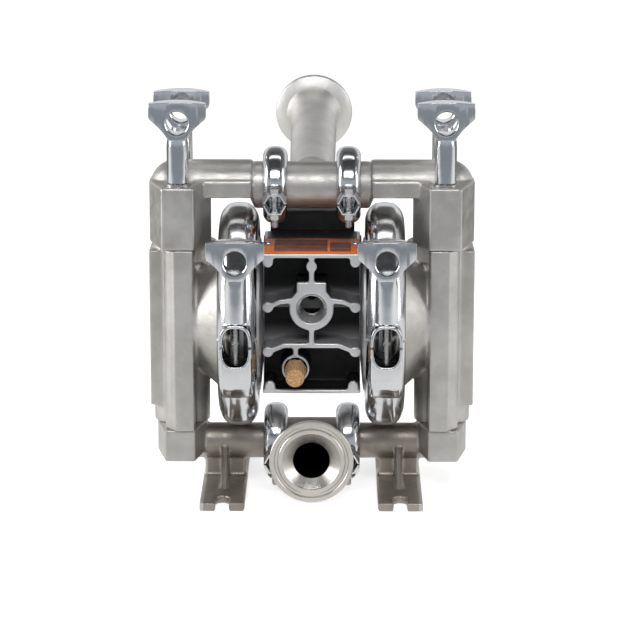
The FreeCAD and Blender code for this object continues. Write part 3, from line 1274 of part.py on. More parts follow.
def hexagon_outline(shrink):
    half_tall = "(clamp_window_half - " + shrink + ")"
    half_wide = "(clamp_window_half_width - " + shrink + ")"
    half_flat = "(clamp_window_flat - " + shrink + " / 2)"
    return [
        ("-" + half_flat, "-" + half_tall),
        (half_flat, "-" + half_tall),
        (half_wide, "0"),
        (half_flat, half_tall),
        ("-" + half_flat, half_tall),
        ("-" + half_wide, "0"),
    ]


def small_clamp(name, base):
    rim = "(gasket_thickness / 2 + ferrule_rim + free_gap)"
    root = "(gasket_thickness / 2 + ferrule_rim + ferrule_taper + free_gap)"
    section = [
        ("-clamp_half_width", "clamp_lip_radius"),
        ("-clamp_half_width", "clamp_shoulder", "clamp_flank_radius"),
        ("-clamp_crown_half + clamp_crown_inset", "clamp_radius"),
        ("clamp_crown_half - clamp_crown_inset", "clamp_radius", "clamp_flank_radius"),
        ("clamp_half_width", "clamp_shoulder"),
        ("clamp_half_width", "clamp_lip_radius"),
        (root, "clamp_lip_radius"),
        (rim, "ferrule_radius + free_gap"),
        ("-" + rim, "ferrule_radius + free_gap"),
        ("-" + root, "clamp_lip_radius"),
    ]
    frame_depth = "(clamp_frame_front - clamp_frame_back)"
    parts = [turned(name + "_ring", "x", section)]
    windows = []
    for place_name, sign in FRONT_AND_REAR:
        lug_y = sign + " * clamp_lug_forward"
        frame_y = sign + " * (clamp_frame_front + clamp_frame_back) / 2"
        parts.append(plate(name + "_frame_" + place_name, "XZ_Plane", hexagon_outline("0"), frame_depth,
                           ("0", frame_y, "0")))
        windows.append(plate(name + "_window_" + place_name, "XZ_Plane",
                             hexagon_outline("clamp_window_wall"),
                             frame_depth + " + 1", ("0", frame_y, "0")))
        windows.append(cylinder(name + "_bolt_hole_" + place_name, "clamp_bolt_radius + free_gap / 2",
                                "4 * clamp_window_half", ("0", lug_y, "-2 * clamp_window_half")))
    windows.append(box(name + "_parting", ("-2 * clamp_half_width", "2 * clamp_half_width"),
                       ("-2 * clamp_radius", "2 * clamp_radius"), ("-clamp_split / 2", "clamp_split / 2")))
    windows.append(cylinder(name + "_ferrule_room", "ferrule_radius + free_gap", "2 * " + rim,
                            ("-" + rim, "0", "0"), "x"))
    solid = joined(name + "_solid", parts)
    thing = cut(name + "_cut", solid, windows)
    return place(thing, base, TILTED)


def small_clamp_bolt(name, sign, base):
    """Hexagon head above the frame and a plain shank through it."""
    lug_y = sign + " * clamp_lug_forward"
    shank = cylinder(name + "_shank", "clamp_bolt_radius", "clamp_window_half + clamp_bolt_tail",
                     ("0", lug_y, "-clamp_bolt_tail"))
    head = nut_prism(name + "_head", "clamp_nut_flat", "clamp_head_height",
                     ("0", lug_y, "clamp_window_half"))
    return place(joined(name + "_body", [shank, head]), base, TILTED)


def small_clamp_nut(name, sign, base):
    lug_y = sign + " * clamp_lug_forward"
    low = "-clamp_window_half - clamp_head_height"
    solid = nut_prism(name + "_hexagon", "clamp_nut_flat", "clamp_head_height", ("0", lug_y, low))
    eye = cylinder(name + "_eye", "clamp_bolt_radius", "clamp_head_height", ("0", lug_y, low))
    return place(cut(name + "_body", solid, [eye]), base, TILTED)


clamp_bolts = []
clamp_nuts = []
for level, z in (("discharge", TOP_AXIS), ("inlet", LOW_AXIS)):
    for side, sign in LEFT_AND_RIGHT:
        base = (sign + " * clamp_offset", "0", z)
        finish(small_clamp("clamp_" + level + side, base), level + "_clamp_" + side)
        for place_name, depth_sign in FRONT_AND_REAR:
            tag = level + side + place_name
            clamp_bolts.append(small_clamp_bolt("clamp_bolt_" + tag, depth_sign, base))
            clamp_nuts.append(small_clamp_nut("clamp_nut_" + tag, depth_sign, base))
finish(group("clamp_bolt_group", clamp_bolts), "small_clamp_bolts")
finish(group("clamp_nut_group", clamp_nuts), "small_clamp_nuts")


# Valve seats and balls
seats = []
for level, z in (("inlet", CHAMBER_BOTTOM), ("discharge", CHAMBER_TOP)):
    for side, sign in LEFT_AND_RIGHT:
        base = (sign + " * column_offset", "0", z)
        disc = cylinder("seat_disc_" + level + side, "seat_radius", "seat_thickness", base)
        eye = cylinder("seat_eye_" + level + side, "seat_bore_radius", "seat_thickness", base)
        seats.append(cut("seat_" + level + side, disc, [eye]))
        finish(
            sphere("ball_" + level + side, "ball_radius",
                   (sign + " * column_offset", "0", z + " + seat_thickness + ball_rise")),
            level + "_ball_" + side,
        )
finish(group("seat_group", seats), "valve_seats")


# Name plate with its screws, left plain
def name_plate():
    front = "-block_half_depth + plate_inset"
    sheet_metal = box("plate_sheet", ("-plate_half_width", "plate_half_width"),
                      (front, front + " + plate_depth"),
                      (BLOCK_TOP, BLOCK_TOP + " + plate_thickness"))
    eyes = []
    for side, sign in LEFT_AND_RIGHT:
        eyes.append(cylinder("plate_eye_" + side, "plate_screw_radius", "plate_thickness",
                             (sign + " * plate_screw_offset", "-block_half_depth + plate_screw_back",
                              BLOCK_TOP)))
    return cut("plate_drilled", sheet_metal, eyes)


def plate_screw(side, sign):
    spot = (sign + " * plate_screw_offset", "-block_half_depth + plate_screw_back")
    top = BLOCK_TOP + " + plate_thickness"
    shank = cylinder("plate_shank_" + side, "plate_screw_radius",
                     "plate_thickness + block_lid + plate_screw_depth",
                     spot + (BLOCK_TOP + " - block_lid - plate_screw_depth",))
    head = cone("plate_head_" + side, "plate_head_radius", "plate_head_top", "plate_head_height",
                spot + (top,))
    return joined("plate_screw_" + side, [shank, head])


finish(name_plate(), "name_plate")
finish(group("plate_screw_group", [plate_screw(side, sign) for side, sign in LEFT_AND_RIGHT]),
       "name_plate_screws")


# Breather silencer: bronze tip in a steel collar
def silencer_base(forward):
    return ("-breather_offset", "-block_half_depth - (" + forward + ")", "axis_height - breather_drop")


TIP_LENGTH = "(breather_reach - breather_flange)"
tip_points = [
    ("0", "0"),
    ("0", "breather_tip_radius + tip_draft"),
    (TIP_LENGTH + " - tip_edge", "breather_tip_radius", "tip_round"),
    (TIP_LENGTH, "breather_tip_radius - tip_flat_inset"),
    (TIP_LENGTH, "0"),
]
finish(turned("silencer_tip", "y", tip_points, silencer_base("breather_flange"), FACING_FRONT),
       "breather_silencer")
collar_disc = cylinder("collar_disc", "breather_collar_radius", "2 * breather_flange",
                       silencer_base("breather_flange"), "y")
collar_thread = cylinder("collar_thread", "breather_thread_radius", "rib_depth", silencer_base("0"), "y")
finish(joined("collar_body", [collar_disc, collar_thread]), "breather_collar")


# Air valve on the rear of the block
VALVE_FRONT = "(block_half_depth + valve_gasket)"
VALVE_SPOOL_Y = "(block_half_depth + valve_gasket + valve_depth / 2)"
VALVE_SPOOL_Z = "(axis_height + spool_rise)"


def air_valve_body():
    body = box("valve_casting", ("-valve_half_width", "valve_half_width"),
               (VALVE_FRONT, VALVE_FRONT + " + valve_depth"),
               ("axis_height + valve_foot", "axis_height + valve_top"))
    tools = [
        cylinder("spool_bore", "spool_radius + slide_gap", "2 * valve_half_width",
                 ("-valve_half_width", VALVE_SPOOL_Y, VALVE_SPOOL_Z), "x"),
        cylinder("muffler_thread_hole", "muffler_thread_radius", "muffler_thread_depth",
                 ("0", VALVE_FRONT + " + valve_depth - muffler_thread_depth",
                  "axis_height + muffler_rise"), "y"),
        cylinder("valve_inlet", "passage_radius", "valve_depth / 2",
                 ("0", VALVE_FRONT, PASSAGE_HEIGHT), "y"),
    ]
    for side, sign in LEFT_AND_RIGHT:
        for level, height in (("high", VALVE_SCREW_HIGH), ("low", VALVE_SCREW_LOW)):
            tools.append(cylinder("valve_hole_" + side + level, "valve_screw_radius + slide_gap",
                                  "valve_depth",
                                  (sign + " * " + VALVE_SCREW_OFFSET, VALVE_FRONT, height), "y"))
    return cut("valve_machined", body, tools)


def valve_gasket():
    sheet_piece = box("valve_gasket_sheet", ("-valve_half_width", "valve_half_width"),
                      ("block_half_depth", VALVE_FRONT), ("axis_height + valve_foot", BLOCK_TOP))
    tools = [cylinder("valve_gasket_inlet", "passage_radius", "valve_gasket",
                      ("0", "block_half_depth", PASSAGE_HEIGHT), "y")]
    for side, sign in LEFT_AND_RIGHT:
        for level, height in (("high", VALVE_SCREW_HIGH), ("low", VALVE_SCREW_LOW)):
            tools.append(cylinder("gasket_hole_" + side + level, "valve_screw_radius + slide_gap",
                                  "valve_gasket",
                                  (sign + " * " + VALVE_SCREW_OFFSET, "block_half_depth", height), "y"))
    return cut("valve_gasket_cut", sheet_piece, tools)


def valve_spool():
    waist = "(spool_radius * spool_waist)"
    points = [
        ("-" + SPOOL_HALF, "0"),
        ("-" + SPOOL_HALF, "spool_radius"),
        ("-" + SPOOL_HALF + " * spool_land_start", "spool_radius"),
        ("-" + SPOOL_HALF + " * spool_land_start", waist),
        ("-" + SPOOL_HALF + " * spool_land_middle", waist),
        ("-" + SPOOL_HALF + " * spool_land_middle", "spool_radius"),
        (SPOOL_HALF + " * spool_land_middle", "spool_radius"),
        (SPOOL_HALF + " * spool_land_middle", waist),
        (SPOOL_HALF + " * spool_land_start", waist),
        (SPOOL_HALF + " * spool_land_start", "spool_radius"),
        (SPOOL_HALF, "spool_radius"),
        (SPOOL_HALF, "0"),
    ]
    return turned("valve_spool_body", "x", points, ("0", VALVE_SPOOL_Y, VALVE_SPOOL_Z))


def valve_caps():
    caps = []
    for side, sign in LEFT_AND_RIGHT:
        middle = sign + " * (valve_half_width + valve_cap_thickness / 2) - valve_cap_thickness / 2"
        caps.append(cylinder("valve_cap_" + side, "valve_cap_radius", "valve_cap_thickness",
                             (middle, VALVE_SPOOL_Y, VALVE_SPOOL_Z), "x"))
    return group("valve_cap_group", caps)


def valve_screws():
    screws = []
    length = "valve_depth + valve_gasket + valve_screw_grip"
    for side, sign in LEFT_AND_RIGHT:
        for level, height in (("high", VALVE_SCREW_HIGH), ("low", VALVE_SCREW_LOW)):
            spot_x = sign + " * " + VALVE_SCREW_OFFSET
            tag = side + level
            shank = cylinder("valve_shank_" + tag, "valve_screw_radius", length,
                             (spot_x, "block_half_depth - valve_screw_grip", height), "y")
            head = cylinder("valve_head_" + tag, "valve_screw_head_radius", "valve_screw_head_height",
                            (spot_x, VALVE_FRONT + " + valve_depth", height), "y")
            screws.append(joined("valve_screw_" + tag, [shank, head]))
    return group("valve_screw_group", screws)


def muffler():
    back = VALVE_FRONT + " + valve_depth"
    points = [
        ("-muffler_thread_depth", "0"),
        ("-muffler_thread_depth", "muffler_thread_radius"),
        ("0", "muffler_thread_radius"),
        ("0", "muffler_radius - muffler_chamfer"),
        ("muffler_collar", "muffler_radius"),
        ("muffler_length - muffler_dome", "muffler_radius - muffler_draft", "muffler_round"),
        ("muffler_length", "muffler_flat_radius"),
        ("muffler_length", "0"),
    ]
    return turned("muffler_body", "y", points, ("0", back, "axis_height + muffler_rise"))


finish(valve_gasket(), "air_valve_gasket")
finish(air_valve_body(), "air_valve_body")
finish(valve_spool(), "air_valve_spool")
finish(valve_caps(), "air_valve_end_caps")
finish(valve_screws(), "air_valve_screws")
finish(muffler(), "exhaust_muffler")

doc.recompute()
for thing in doc.Objects:
    if "Invalid" in thing.State or "Error" in thing.State:
        raise RuntimeError("failed object: " + thing.Name + " " + str(thing.State))
os.makedirs("parts", exist_ok=True)
for thing in nodes:
    if thing.Shape.isNull() or not thing.Shape.isValid():
        raise RuntimeError("bad shape: " + thing.Label)
for thing in nodes:
    thing.Shape.exportStep("parts/" + thing.Label + ".step")
print(len(nodes), "sub-parts written")
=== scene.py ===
"""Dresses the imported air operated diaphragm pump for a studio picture.

The castings are softened like real bead blasted castings, the bands, clamps, wing nuts and
fasteners are turned and extruded afresh, and every surface gets a procedural finish.
"""

import json
import logging
import math
from dataclasses import dataclass
from enum import Enum

import bpy
from mathutils import Matrix, Vector


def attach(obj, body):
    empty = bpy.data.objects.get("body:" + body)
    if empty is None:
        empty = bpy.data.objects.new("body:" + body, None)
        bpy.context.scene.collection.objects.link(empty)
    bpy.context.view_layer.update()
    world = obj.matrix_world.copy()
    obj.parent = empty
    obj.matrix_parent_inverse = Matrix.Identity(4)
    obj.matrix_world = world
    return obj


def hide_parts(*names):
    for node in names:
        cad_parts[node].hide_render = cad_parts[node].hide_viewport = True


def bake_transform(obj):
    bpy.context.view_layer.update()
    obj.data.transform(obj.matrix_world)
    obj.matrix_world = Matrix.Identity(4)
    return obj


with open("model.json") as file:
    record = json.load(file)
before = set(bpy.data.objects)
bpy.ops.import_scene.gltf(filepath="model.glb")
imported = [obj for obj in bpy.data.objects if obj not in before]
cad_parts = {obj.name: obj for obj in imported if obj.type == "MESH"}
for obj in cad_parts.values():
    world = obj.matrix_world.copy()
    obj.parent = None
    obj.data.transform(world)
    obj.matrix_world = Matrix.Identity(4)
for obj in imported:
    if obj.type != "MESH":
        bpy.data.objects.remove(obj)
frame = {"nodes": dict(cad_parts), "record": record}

log = logging.getLogger("pump")

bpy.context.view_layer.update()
Point = tuple[float, float]
Colour = tuple[float, float, float]
Entry = bpy.types.NodeSocket | float | tuple[float, ...]

MM = 0.001
SHAFT_HEIGHT = 106.0 * MM
DISCHARGE_HEIGHT = 186.0 * MM
INLET_HEIGHT = 26.0 * MM
AIR_INLET_HEIGHT = 117.0 * MM
BAND_OFFSET = 44.0 * MM
STUD_FORWARD = -74.0 * MM
COLUMN_OFFSET = 79.5 * MM
TIE_ROD_DEPTH = 23.0 * MM
BLOCK_FRONT = -34.0 * MM
SILENCER_SEAT = Vector((-9.6 * MM, BLOCK_FRONT, 80.0 * MM))
MIRROR = Matrix.Diagonal((-1.0, 1.0, 1.0, 1.0))


class Side(Enum):
    """Left or right of the middle, seen from the front."""

    LEFT = -1
    RIGHT = 1

    @property
    def word(self) -> str:
        """The side's name in the node names."""
        return self.name.lower()


class Row(Enum):
    """Front or rear of the pump."""

    FRONT = -1
    REAR = 1

    @property
    def word(self) -> str:
        """The row's name in the node names."""
        return self.name.lower()


class Axis(Enum):
    """An axis of the pump's frame, as a unit vector."""

    X = (1.0, 0.0, 0.0)
    Y = (0.0, 1.0, 0.0)
    Z = (0.0, 0.0, 1.0)

    @property
    def vector(self) -> Vector:
        """The axis as a vector."""
        return Vector(self.value)


class Plane(Enum):
    """The plane that an outline is drawn in, as its across and up axes."""

    FRONT = (Axis.X, Axis.Z, Axis.Y)
    SIDE = (Axis.Y, Axis.Z, Axis.X)
    TOP = (Axis.X, Axis.Y, Axis.Z)


def arc(start: Point, end: Point, radius: float, count: int = 8) -> list[Point]:
    """Points along the short arc between two points, without its two ends.

    Args:
        start: Where the arc starts.
        end: Where the arc ends.
        radius: Its radius. It bows to the left of the chord, or to the right when negative.
        count: How many pieces the arc is divided into.

    Returns:
        The points between start and end, in order.
    """
    first, last = Vector(start), Vector(end)
    chord = last - first
    half = chord.length / 2
    reach = abs(radius)
    depth = math.sqrt(max(reach * reach - half * half, 0.0))
    side = Vector((-chord.y, chord.x)).normalized() * math.copysign(1.0, radius)
    centre = (first + last) / 2 - side * depth
    begin = math.atan2(first.y - centre.y, first.x - centre.x)
    finish = math.atan2(last.y - centre.y, last.x - centre.x)
    turn = (finish - begin + math.pi) % (2 * math.pi) - math.pi
    points = []
    for step in range(1, count):
        angle = begin + turn * step / count
        points.append((centre.x + reach * math.cos(angle), centre.y + reach * math.sin(angle)))
    return points


def in_metres(points: list[Point]) -> list[Point]:
    """The same outline or profile in metres, given in millimetres."""
    return [(first * MM, second * MM) for first, second in points]


def hexagon(reach: float) -> list[Point]:
    """The corners of a hexagon that lie at this distance from its middle."""
    return [(reach * math.cos(k * math.pi / 3), reach * math.sin(k * math.pi / 3)) for k in range(6)]


class Workbench:
    """The modelling moves that every piece is made with."""

    @staticmethod
    def clear() -> None:
        """Go back to Object Mode with nothing selected."""
        if bpy.context.object and bpy.context.object.mode != "OBJECT":
            bpy.ops.object.mode_set(mode="OBJECT")
        bpy.ops.object.select_all(action="DESELECT")

    @staticmethod
    def pick(*pieces: bpy.types.Object) -> None:
        """Select these pieces alone, the first one active.

        Args:
            pieces: The pieces to select.
        """
        Workbench.clear()
        for piece in pieces:
            piece.select_set(True)
        bpy.context.view_layer.objects.active = pieces[0]

    @staticmethod
    def settle(piece: bpy.types.Object) -> bpy.types.Object:
        """Put a piece's place, turn and size into its mesh."""
        Workbench.pick(piece)
        bpy.ops.object.transform_apply(location=True, rotation=True, scale=True)
        return piece

    @staticmethod
    def point_outwards() -> None:
        """Turn the normals of the piece in Edit Mode outwards, and leave that mode."""
        bpy.ops.mesh.select_all(action="SELECT")
        bpy.ops.mesh.normals_make_consistent(inside=False)
        bpy.ops.object.mode_set(mode="OBJECT")

    @staticmethod
    def trace(name: str, plane: Plane, points: list[Point], centre: Vector) -> bpy.types.Object:
        """Draw an outline point by point, by extruding one vertex.

        Args:
            name: The piece's name.
            plane: The plane of the outline.
            points: Its corners, across and up, in metres.
            centre: Where the outline's own origin lies.

        Returns:
            The piece, in Edit Mode, with all of it selected.
        """
        across, up, _ = plane.value
        spots = [centre + across.vector * a + up.vector * b for a, b in points]
        Workbench.clear()
        bpy.ops.mesh.primitive_plane_add(size=MM, location=(0.0, 0.0, 0.0))
        piece = bpy.context.object
        piece.name = name
        bpy.ops.object.mode_set(mode="EDIT")
        bpy.ops.mesh.select_all(action="SELECT")
        bpy.ops.mesh.merge(type="CENTER")
        bpy.ops.transform.translate(value=spots[0])
        for before, after in zip(spots, spots[1:]):
            bpy.ops.mesh.extrude_region_move(TRANSFORM_OT_translate={"value": after - before})
        bpy.ops.mesh.select_all(action="SELECT")
        return piece

    @staticmethod
    def lathe(name: str, axis: Axis, centre: Vector, profile: list[Point],
              steps: int = 96) -> bpy.types.Object:
        """Spin a closed profile about an axis.

        Args:
            name: The piece's name.
            axis: The axis to turn about.
            centre: A point on that axis, where the profile's zero lies.
            profile: Closed outline as (along the axis, radius), in metres.
            steps: How many faces go round.

        Returns:
            The turned piece.
        """
        plane = {Axis.X: Plane.FRONT, Axis.Y: Plane.SIDE, Axis.Z: Plane.FRONT}[axis]
        drawn = [(r, a) for a, r in profile] if axis is Axis.Z else list(profile)
        on_axis = profile[0][1] < 1e-9 and profile[-1][1] < 1e-9
        piece = Workbench.trace(name, plane, drawn if on_axis else drawn + drawn[:1], centre)
        bpy.ops.mesh.spin(steps=steps, angle=2 * math.pi, center=centre, axis=axis.vector)
        bpy.ops.mesh.select_all(action="SELECT")
        bpy.ops.mesh.remove_doubles(threshold=1e-6)
        Workbench.point_outwards()
        return piece

    @staticmethod
    def slab(name: str, plane: Plane, points: list[Point], thickness: float,
             middle: Vector) -> bpy.types.Object:
        """Extrude a closed outline, half the thickness each way.

        Args:
            name: The piece's name.
            plane: The plane of the outline.
            points: Its corners, across and up, in metres.
            thickness: How thick the slab is.
            middle: Where the outline's own origin lies, halfway through the slab.

        Returns:
            The slab.
        """
        along = plane.value[2].vector
        piece = Workbench.trace(name, plane, points, middle - along * thickness / 2)
        bpy.ops.mesh.edge_face_add()
        bpy.ops.mesh.extrude_region_move(TRANSFORM_OT_translate={"value": along * thickness})
        Workbench.point_outwards()
        return piece

    @staticmethod
    def rod(name: str, axis: Axis, start: Vector, radius: float, length: float,
            steps: int = 48) -> bpy.types.Object:
        """A plain round bar from a start point along an axis.

        Args:
            name: The piece's name.
            axis: The axis that it runs along.
            start: The middle of its first end.
            radius: Its radius.
            length: Its length.
            steps: How many faces go round.

        Returns:
            The bar.
        """
        profile = [(0.0, 0.0), (0.0, radius), (length, radius), (length, 0.0)]
        return Workbench.lathe(name, axis, start, profile, steps)

    @staticmethod
    def hexagon_prism(name: str, start: Vector, half_flat: float, height: float) -> bpy.types.Object:
        """An upright hexagonal prism with chamfered corners, as a bolt head or nut.

        Args:
            name: The piece's name.
            start: The middle of its lower face.
            half_flat: Half its width across the flats.
            height: Its height.

        Returns:
            The prism.
        """
        reach = half_flat / math.cos(math.pi / 6)
        middle = start + Vector((0.0, 0.0, height / 2))
        prism = Workbench.slab(name, Plane.TOP, hexagon(reach), height, middle)
        chamfer = [
            (-MM, 0.0), (-MM, half_flat * 0.9), (0.0, half_flat * 1.02), (height * 0.12, reach * 1.05),
            (height * 0.88, reach * 1.05), (height, half_flat * 1.02), (height + MM, half_flat * 0.9),
            (height + MM, 0.0),
        ]
        turned = Workbench.lathe(name + "_chamfer", Axis.Z, start, chamfer, 48)
        return Workbench.boolean(prism, turned, "INTERSECT")

    @staticmethod
    def boolean(piece: bpy.types.Object, tool: bpy.types.Object,
                operation: str = "DIFFERENCE") -> bpy.types.Object:
        """Cut, join or intersect a piece with a tool, which is used up.

        Args:
            piece: The piece that stays.
            tool: The other shape.
            operation: DIFFERENCE, UNION or INTERSECT.

        Returns:
            The piece.
        """
        Workbench.pick(piece)
        modifier = piece.modifiers.new("shape", "BOOLEAN")
        modifier.operation = operation
        modifier.solver = "EXACT"
        modifier.object = tool
        bpy.ops.object.modifier_apply(modifier=modifier.name)
        bpy.data.objects.remove(tool)
        return piece

    @staticmethod
    def bevel(piece: bpy.types.Object, width: float, segments: int = 3,
              angle: float = 35.0) -> bpy.types.Object:
        """Round off all edges that are sharper than an angle.

        Args:
            piece: The piece.
            width: How far the rounding reaches.
            segments: How many faces make the rounding.
            angle: The angle in degrees from which an edge counts as sharp.

        Returns:
            The piece.
        """
        Workbench.pick(piece)
        modifier = piece.modifiers.new("rounding", "BEVEL")
        modifier.width = width
        modifier.segments = segments
        modifier.limit_method = "ANGLE"
        modifier.angle_limit = math.radians(angle)
        bpy.ops.object.modifier_apply(modifier=modifier.name)
        return piece

    @staticmethod
    def join(*pieces: bpy.types.Object) -> bpy.types.Object:
        """Make one piece of several, named after the first."""
        Workbench.pick(*pieces)
        bpy.ops.object.join()
        return bpy.context.object

    @staticmethod
    def trim(piece: bpy.types.Object, point: Vector, normal: Vector) -> bpy.types.Object:
        """Cut a piece at a plane and close it, keeping the side away from the normal.

        Args:
            piece: The piece.
            point: A point on the plane.
            normal: The side that goes.

        Returns:
            The piece.
        """
        Workbench.pick(piece)
        bpy.ops.object.mode_set(mode="EDIT")
        bpy.ops.mesh.select_all(action="SELECT")
        bpy.ops.mesh.bisect(plane_co=point, plane_no=normal, use_fill=True, clear_outer=True)
        Workbench.point_outwards()
        return piece

    @staticmethod
    def copy(piece: bpy.types.Object, name: str, change: Matrix) -> bpy.types.Object:
        """Copy a piece with its own mesh, moved or mirrored.

        Args:
            piece: The piece to copy.
            name: The copy's name.
            change: The move, in the pump's frame.

        Returns:
            The copy.
        """
        Workbench.pick(piece)
        bpy.ops.object.duplicate(linked=False)
        twin = bpy.context.object
        twin.name = name
        twin.data.name = name
        twin.matrix_world = change @ twin.matrix_world
        Workbench.settle(twin)
        if change.determinant() < 0:
            bpy.ops.object.mode_set(mode="EDIT")
            Workbench.point_outwards()
        return twin

    @staticmethod
    def soften(node: str, name: str, voxel: float, passes: int) -> bpy.types.Object:
        """Copy a CAD casting and give it the rounded edges and fillets of a real casting.

        Args:
            node: The CAD node that is copied.
            name: The new piece's name.
            voxel: The size of the grid that the surface is drawn over again with.
            passes: How often the surface is smoothed.

        Returns:
            The softened copy.
        """
        source = frame["nodes"][node]
        Workbench.clear()
        piece = bpy.data.objects.new(name, source.data.copy())
        bpy.context.scene.collection.objects.link(piece)
        piece.data.materials.clear()
        Workbench.pick(piece)
        bpy.ops.object.mode_set(mode="EDIT")
        bpy.ops.mesh.select_all(action="SELECT")
        bpy.ops.mesh.remove_doubles(threshold=1e-6)
        bpy.ops.object.mode_set(mode="OBJECT")
        remesh = piece.modifiers.new("casting", "REMESH")
        remesh.mode = "VOXEL"
        remesh.voxel_size = voxel
        bpy.ops.object.modifier_apply(modifier=remesh.name)
        smooth = piece.modifiers.new("blasting", "SMOOTH")
        smooth.factor = 0.5
        smooth.iterations = passes
        bpy.ops.object.modifier_apply(modifier=smooth.name)
        bpy.ops.object.shade_smooth()
        return piece

    @staticmethod
    def shade(piece: bpy.types.Object, angle: float = 32.0) -> bpy.types.Object:
        """Shade a piece smooth, apart from edges sharper than an angle."""
        Workbench.pick(piece)
        bpy.ops.object.shade_smooth_by_angle(angle=math.radians(angle))
        return piece


def plug(target: bpy.types.NodeSocket, value: Entry) -> None:
    """Put a value into a node's input.

    Args:
        target: The input.
        value: Another node's output, which is linked to it, or a fixed value.
    """
    if isinstance(value, bpy.types.NodeSocket):
        target.id_data.links.new(value, target)
    else:
        target.default_value = value


def add_node(tree: bpy.types.NodeTree, kind: str, inputs: dict[str | int, Entry] | None = None,
             **settings: str) -> bpy.types.Node:
    """Add a shader node.

    Args:
        tree: The node tree.
        kind: The node's kind.
        inputs: What goes into its inputs.
        settings: Its own settings.

    Returns:
        The node.
    """
    node = tree.nodes.new("ShaderNode" + kind)
    for name, setting in settings.items():
        setattr(node, name, setting)
    for name, value in (inputs or {}).items():
        plug(node.inputs[name], value)
    return node


def mix(tree: bpy.types.NodeTree, share: Entry, first: Entry, second: Entry,
        way: str = "MIX") -> bpy.types.NodeSocket:
    """Mix two colours.

    Args:
        tree: The node tree.
        share: How much of the second colour there is.
        first: The first colour.
        second: The second colour.
        way: How they are mixed.

    Returns:
        The mixed colour.
    """
    first, second = (colour if isinstance(colour, bpy.types.NodeSocket) else (*colour, 1.0)
                     for colour in (first, second))
    node = add_node(tree, "Mix", {"Factor": share, "A": first, "B": second}, data_type="RGBA", blend_type=way)
    return node.outputs["Result"]


class NodeBoard:
    """A material's node tree, with short ways to add nodes."""

    def __init__(self, name: str) -> None:
        """Start a material with its shader.

        Args:
            name: The material's name.
        """
        self.material = bpy.data.materials.new(name)
        self.material.use_nodes = True
        self.tree = self.material.node_tree
        self.shader = self.tree.nodes["Principled BSDF"]
        self.coordinates = add_node(self.tree, "TexCoord").outputs["Object"]

    def surface(self, colour: Entry, roughness: Entry, metallic: float) -> None:
        """Give the surface its look.

        Args:
            colour: Its colour.
            roughness: How rough it is, from 0 to 1.
            metallic: 1 for bare metal, 0 for anything else.
        """
        plug(self.shader.inputs["Base Color"], colour)
        plug(self.shader.inputs["Roughness"], roughness)
        plug(self.shader.inputs["Metallic"], metallic)

    def noise(self, scale: float, detail: float = 3.0, roughness: float = 0.55,
              stretch: Colour = (1.0, 1.0, 1.0)) -> bpy.types.NodeSocket:
        """Cloudy noise on Object coordinates.

        Args:
            scale: Clouds per metre.
            detail: How many finer layers are added.
            roughness: How strong the finer layers are.
            stretch: How much finer the noise is along each axis.

        Returns:
            The noise's value.
        """
        mapping = add_node(self.tree, "Mapping", {"Vector": self.coordinates, "Scale": stretch})
        inputs = {"Vector": mapping.outputs["Vector"], "Scale": scale, "Detail": detail,
                  "Roughness": roughness}
        return add_node(self.tree, "TexNoise", inputs).outputs["Fac"]

    def cells(self, scale: float) -> bpy.types.NodeSocket:
        """Distance to the nearest of many scattered grains."""
        inputs = {"Vector": self.coordinates, "Scale": scale}
        return add_node(self.tree, "TexVoronoi", inputs).outputs["Distance"]

    def spread(self, value: bpy.types.NodeSocket, low: float, high: float,
               start: float = 0.3, end: float = 0.7) -> bpy.types.NodeSocket:
        """Stretch a value from one range to another, with soft ends.

        Args:
            value: The value.
            low: What comes out at the start of the range.
            high: What comes out at its end.
            start: The range's start.
            end: The range's end.

        Returns:
            The stretched value.
        """
        inputs = {"Value": value, "From Min": start, "From Max": end, "To Min": low, "To Max": high}
        return add_node(self.tree, "MapRange", inputs, interpolation_type="SMOOTHSTEP").outputs["Result"]

    def blend(self, share: bpy.types.NodeSocket, first: Colour, second: Colour) -> bpy.types.NodeSocket:
        """Blend two colours by a share, where 0 gives the first and 1 the second."""
        return mix(self.tree, share, first, second)

    def along(self, axis: Axis) -> bpy.types.NodeSocket:
        """How far along an axis a point of the surface lies, in metres."""
        return add_node(self.tree, "SeparateXYZ", {0: self.coordinates}).outputs[axis.name]

    def maths(self, operation: str, first: Entry, second: Entry) -> bpy.types.NodeSocket:
        """Work out one value from two.

        Args:
            operation: What is done, such as MULTIPLY.
            first: The first value.
            second: The second value.

        Returns:
            The result.
        """
        return add_node(self.tree, "Math", {0: first, 1: second}, operation=operation).outputs[0]

    def bump(self, height: bpy.types.NodeSocket, depth: float, strength: float = 1.0) -> None:
        """Raise the surface by a value, over any bump that is there already.

        Args:
            height: The value.
            depth: How high a value of 1 stands, in metres.
            strength: How much of it shows.
        """
        node = add_node(self.tree, "Bump", {"Distance": depth, "Strength": strength, "Height": height})
        normal = self.shader.inputs["Normal"]
        if normal.links:
            plug(node.inputs["Normal"], normal.links[0].from_socket)
        plug(normal, node.outputs["Normal"])


@dataclass(frozen=True)
class BlastedCasting:
    """Bead blasted or as-cast metal: satin, finely grained, a little uneven in tone."""

    name: str
    light: Colour
    dark: Colour
    smooth: float = 0.34
    rough: float = 0.46
    grain: float = 1900.0
    grain_depth: float = 0.00007
    metallic: float = 0.85

    def material(self) -> bpy.types.Material:
        """Build the casting's material."""
        board = NodeBoard(self.name)
        tone = board.spread(board.noise(38.0, 5.0, 0.6), 0.0, 1.0)
        sheen = board.spread(board.noise(140.0, 4.0), self.smooth, self.rough)
        board.surface(board.blend(tone, self.dark, self.light), sheen, self.metallic)
        board.bump(board.noise(380.0, 2.0), 0.00022, 0.5)
        board.bump(board.noise(900.0, 2.0), 0.00014, 0.5)
        board.bump(board.noise(self.grain, 2.0, 0.6), self.grain_depth, 0.8)
        return board.material


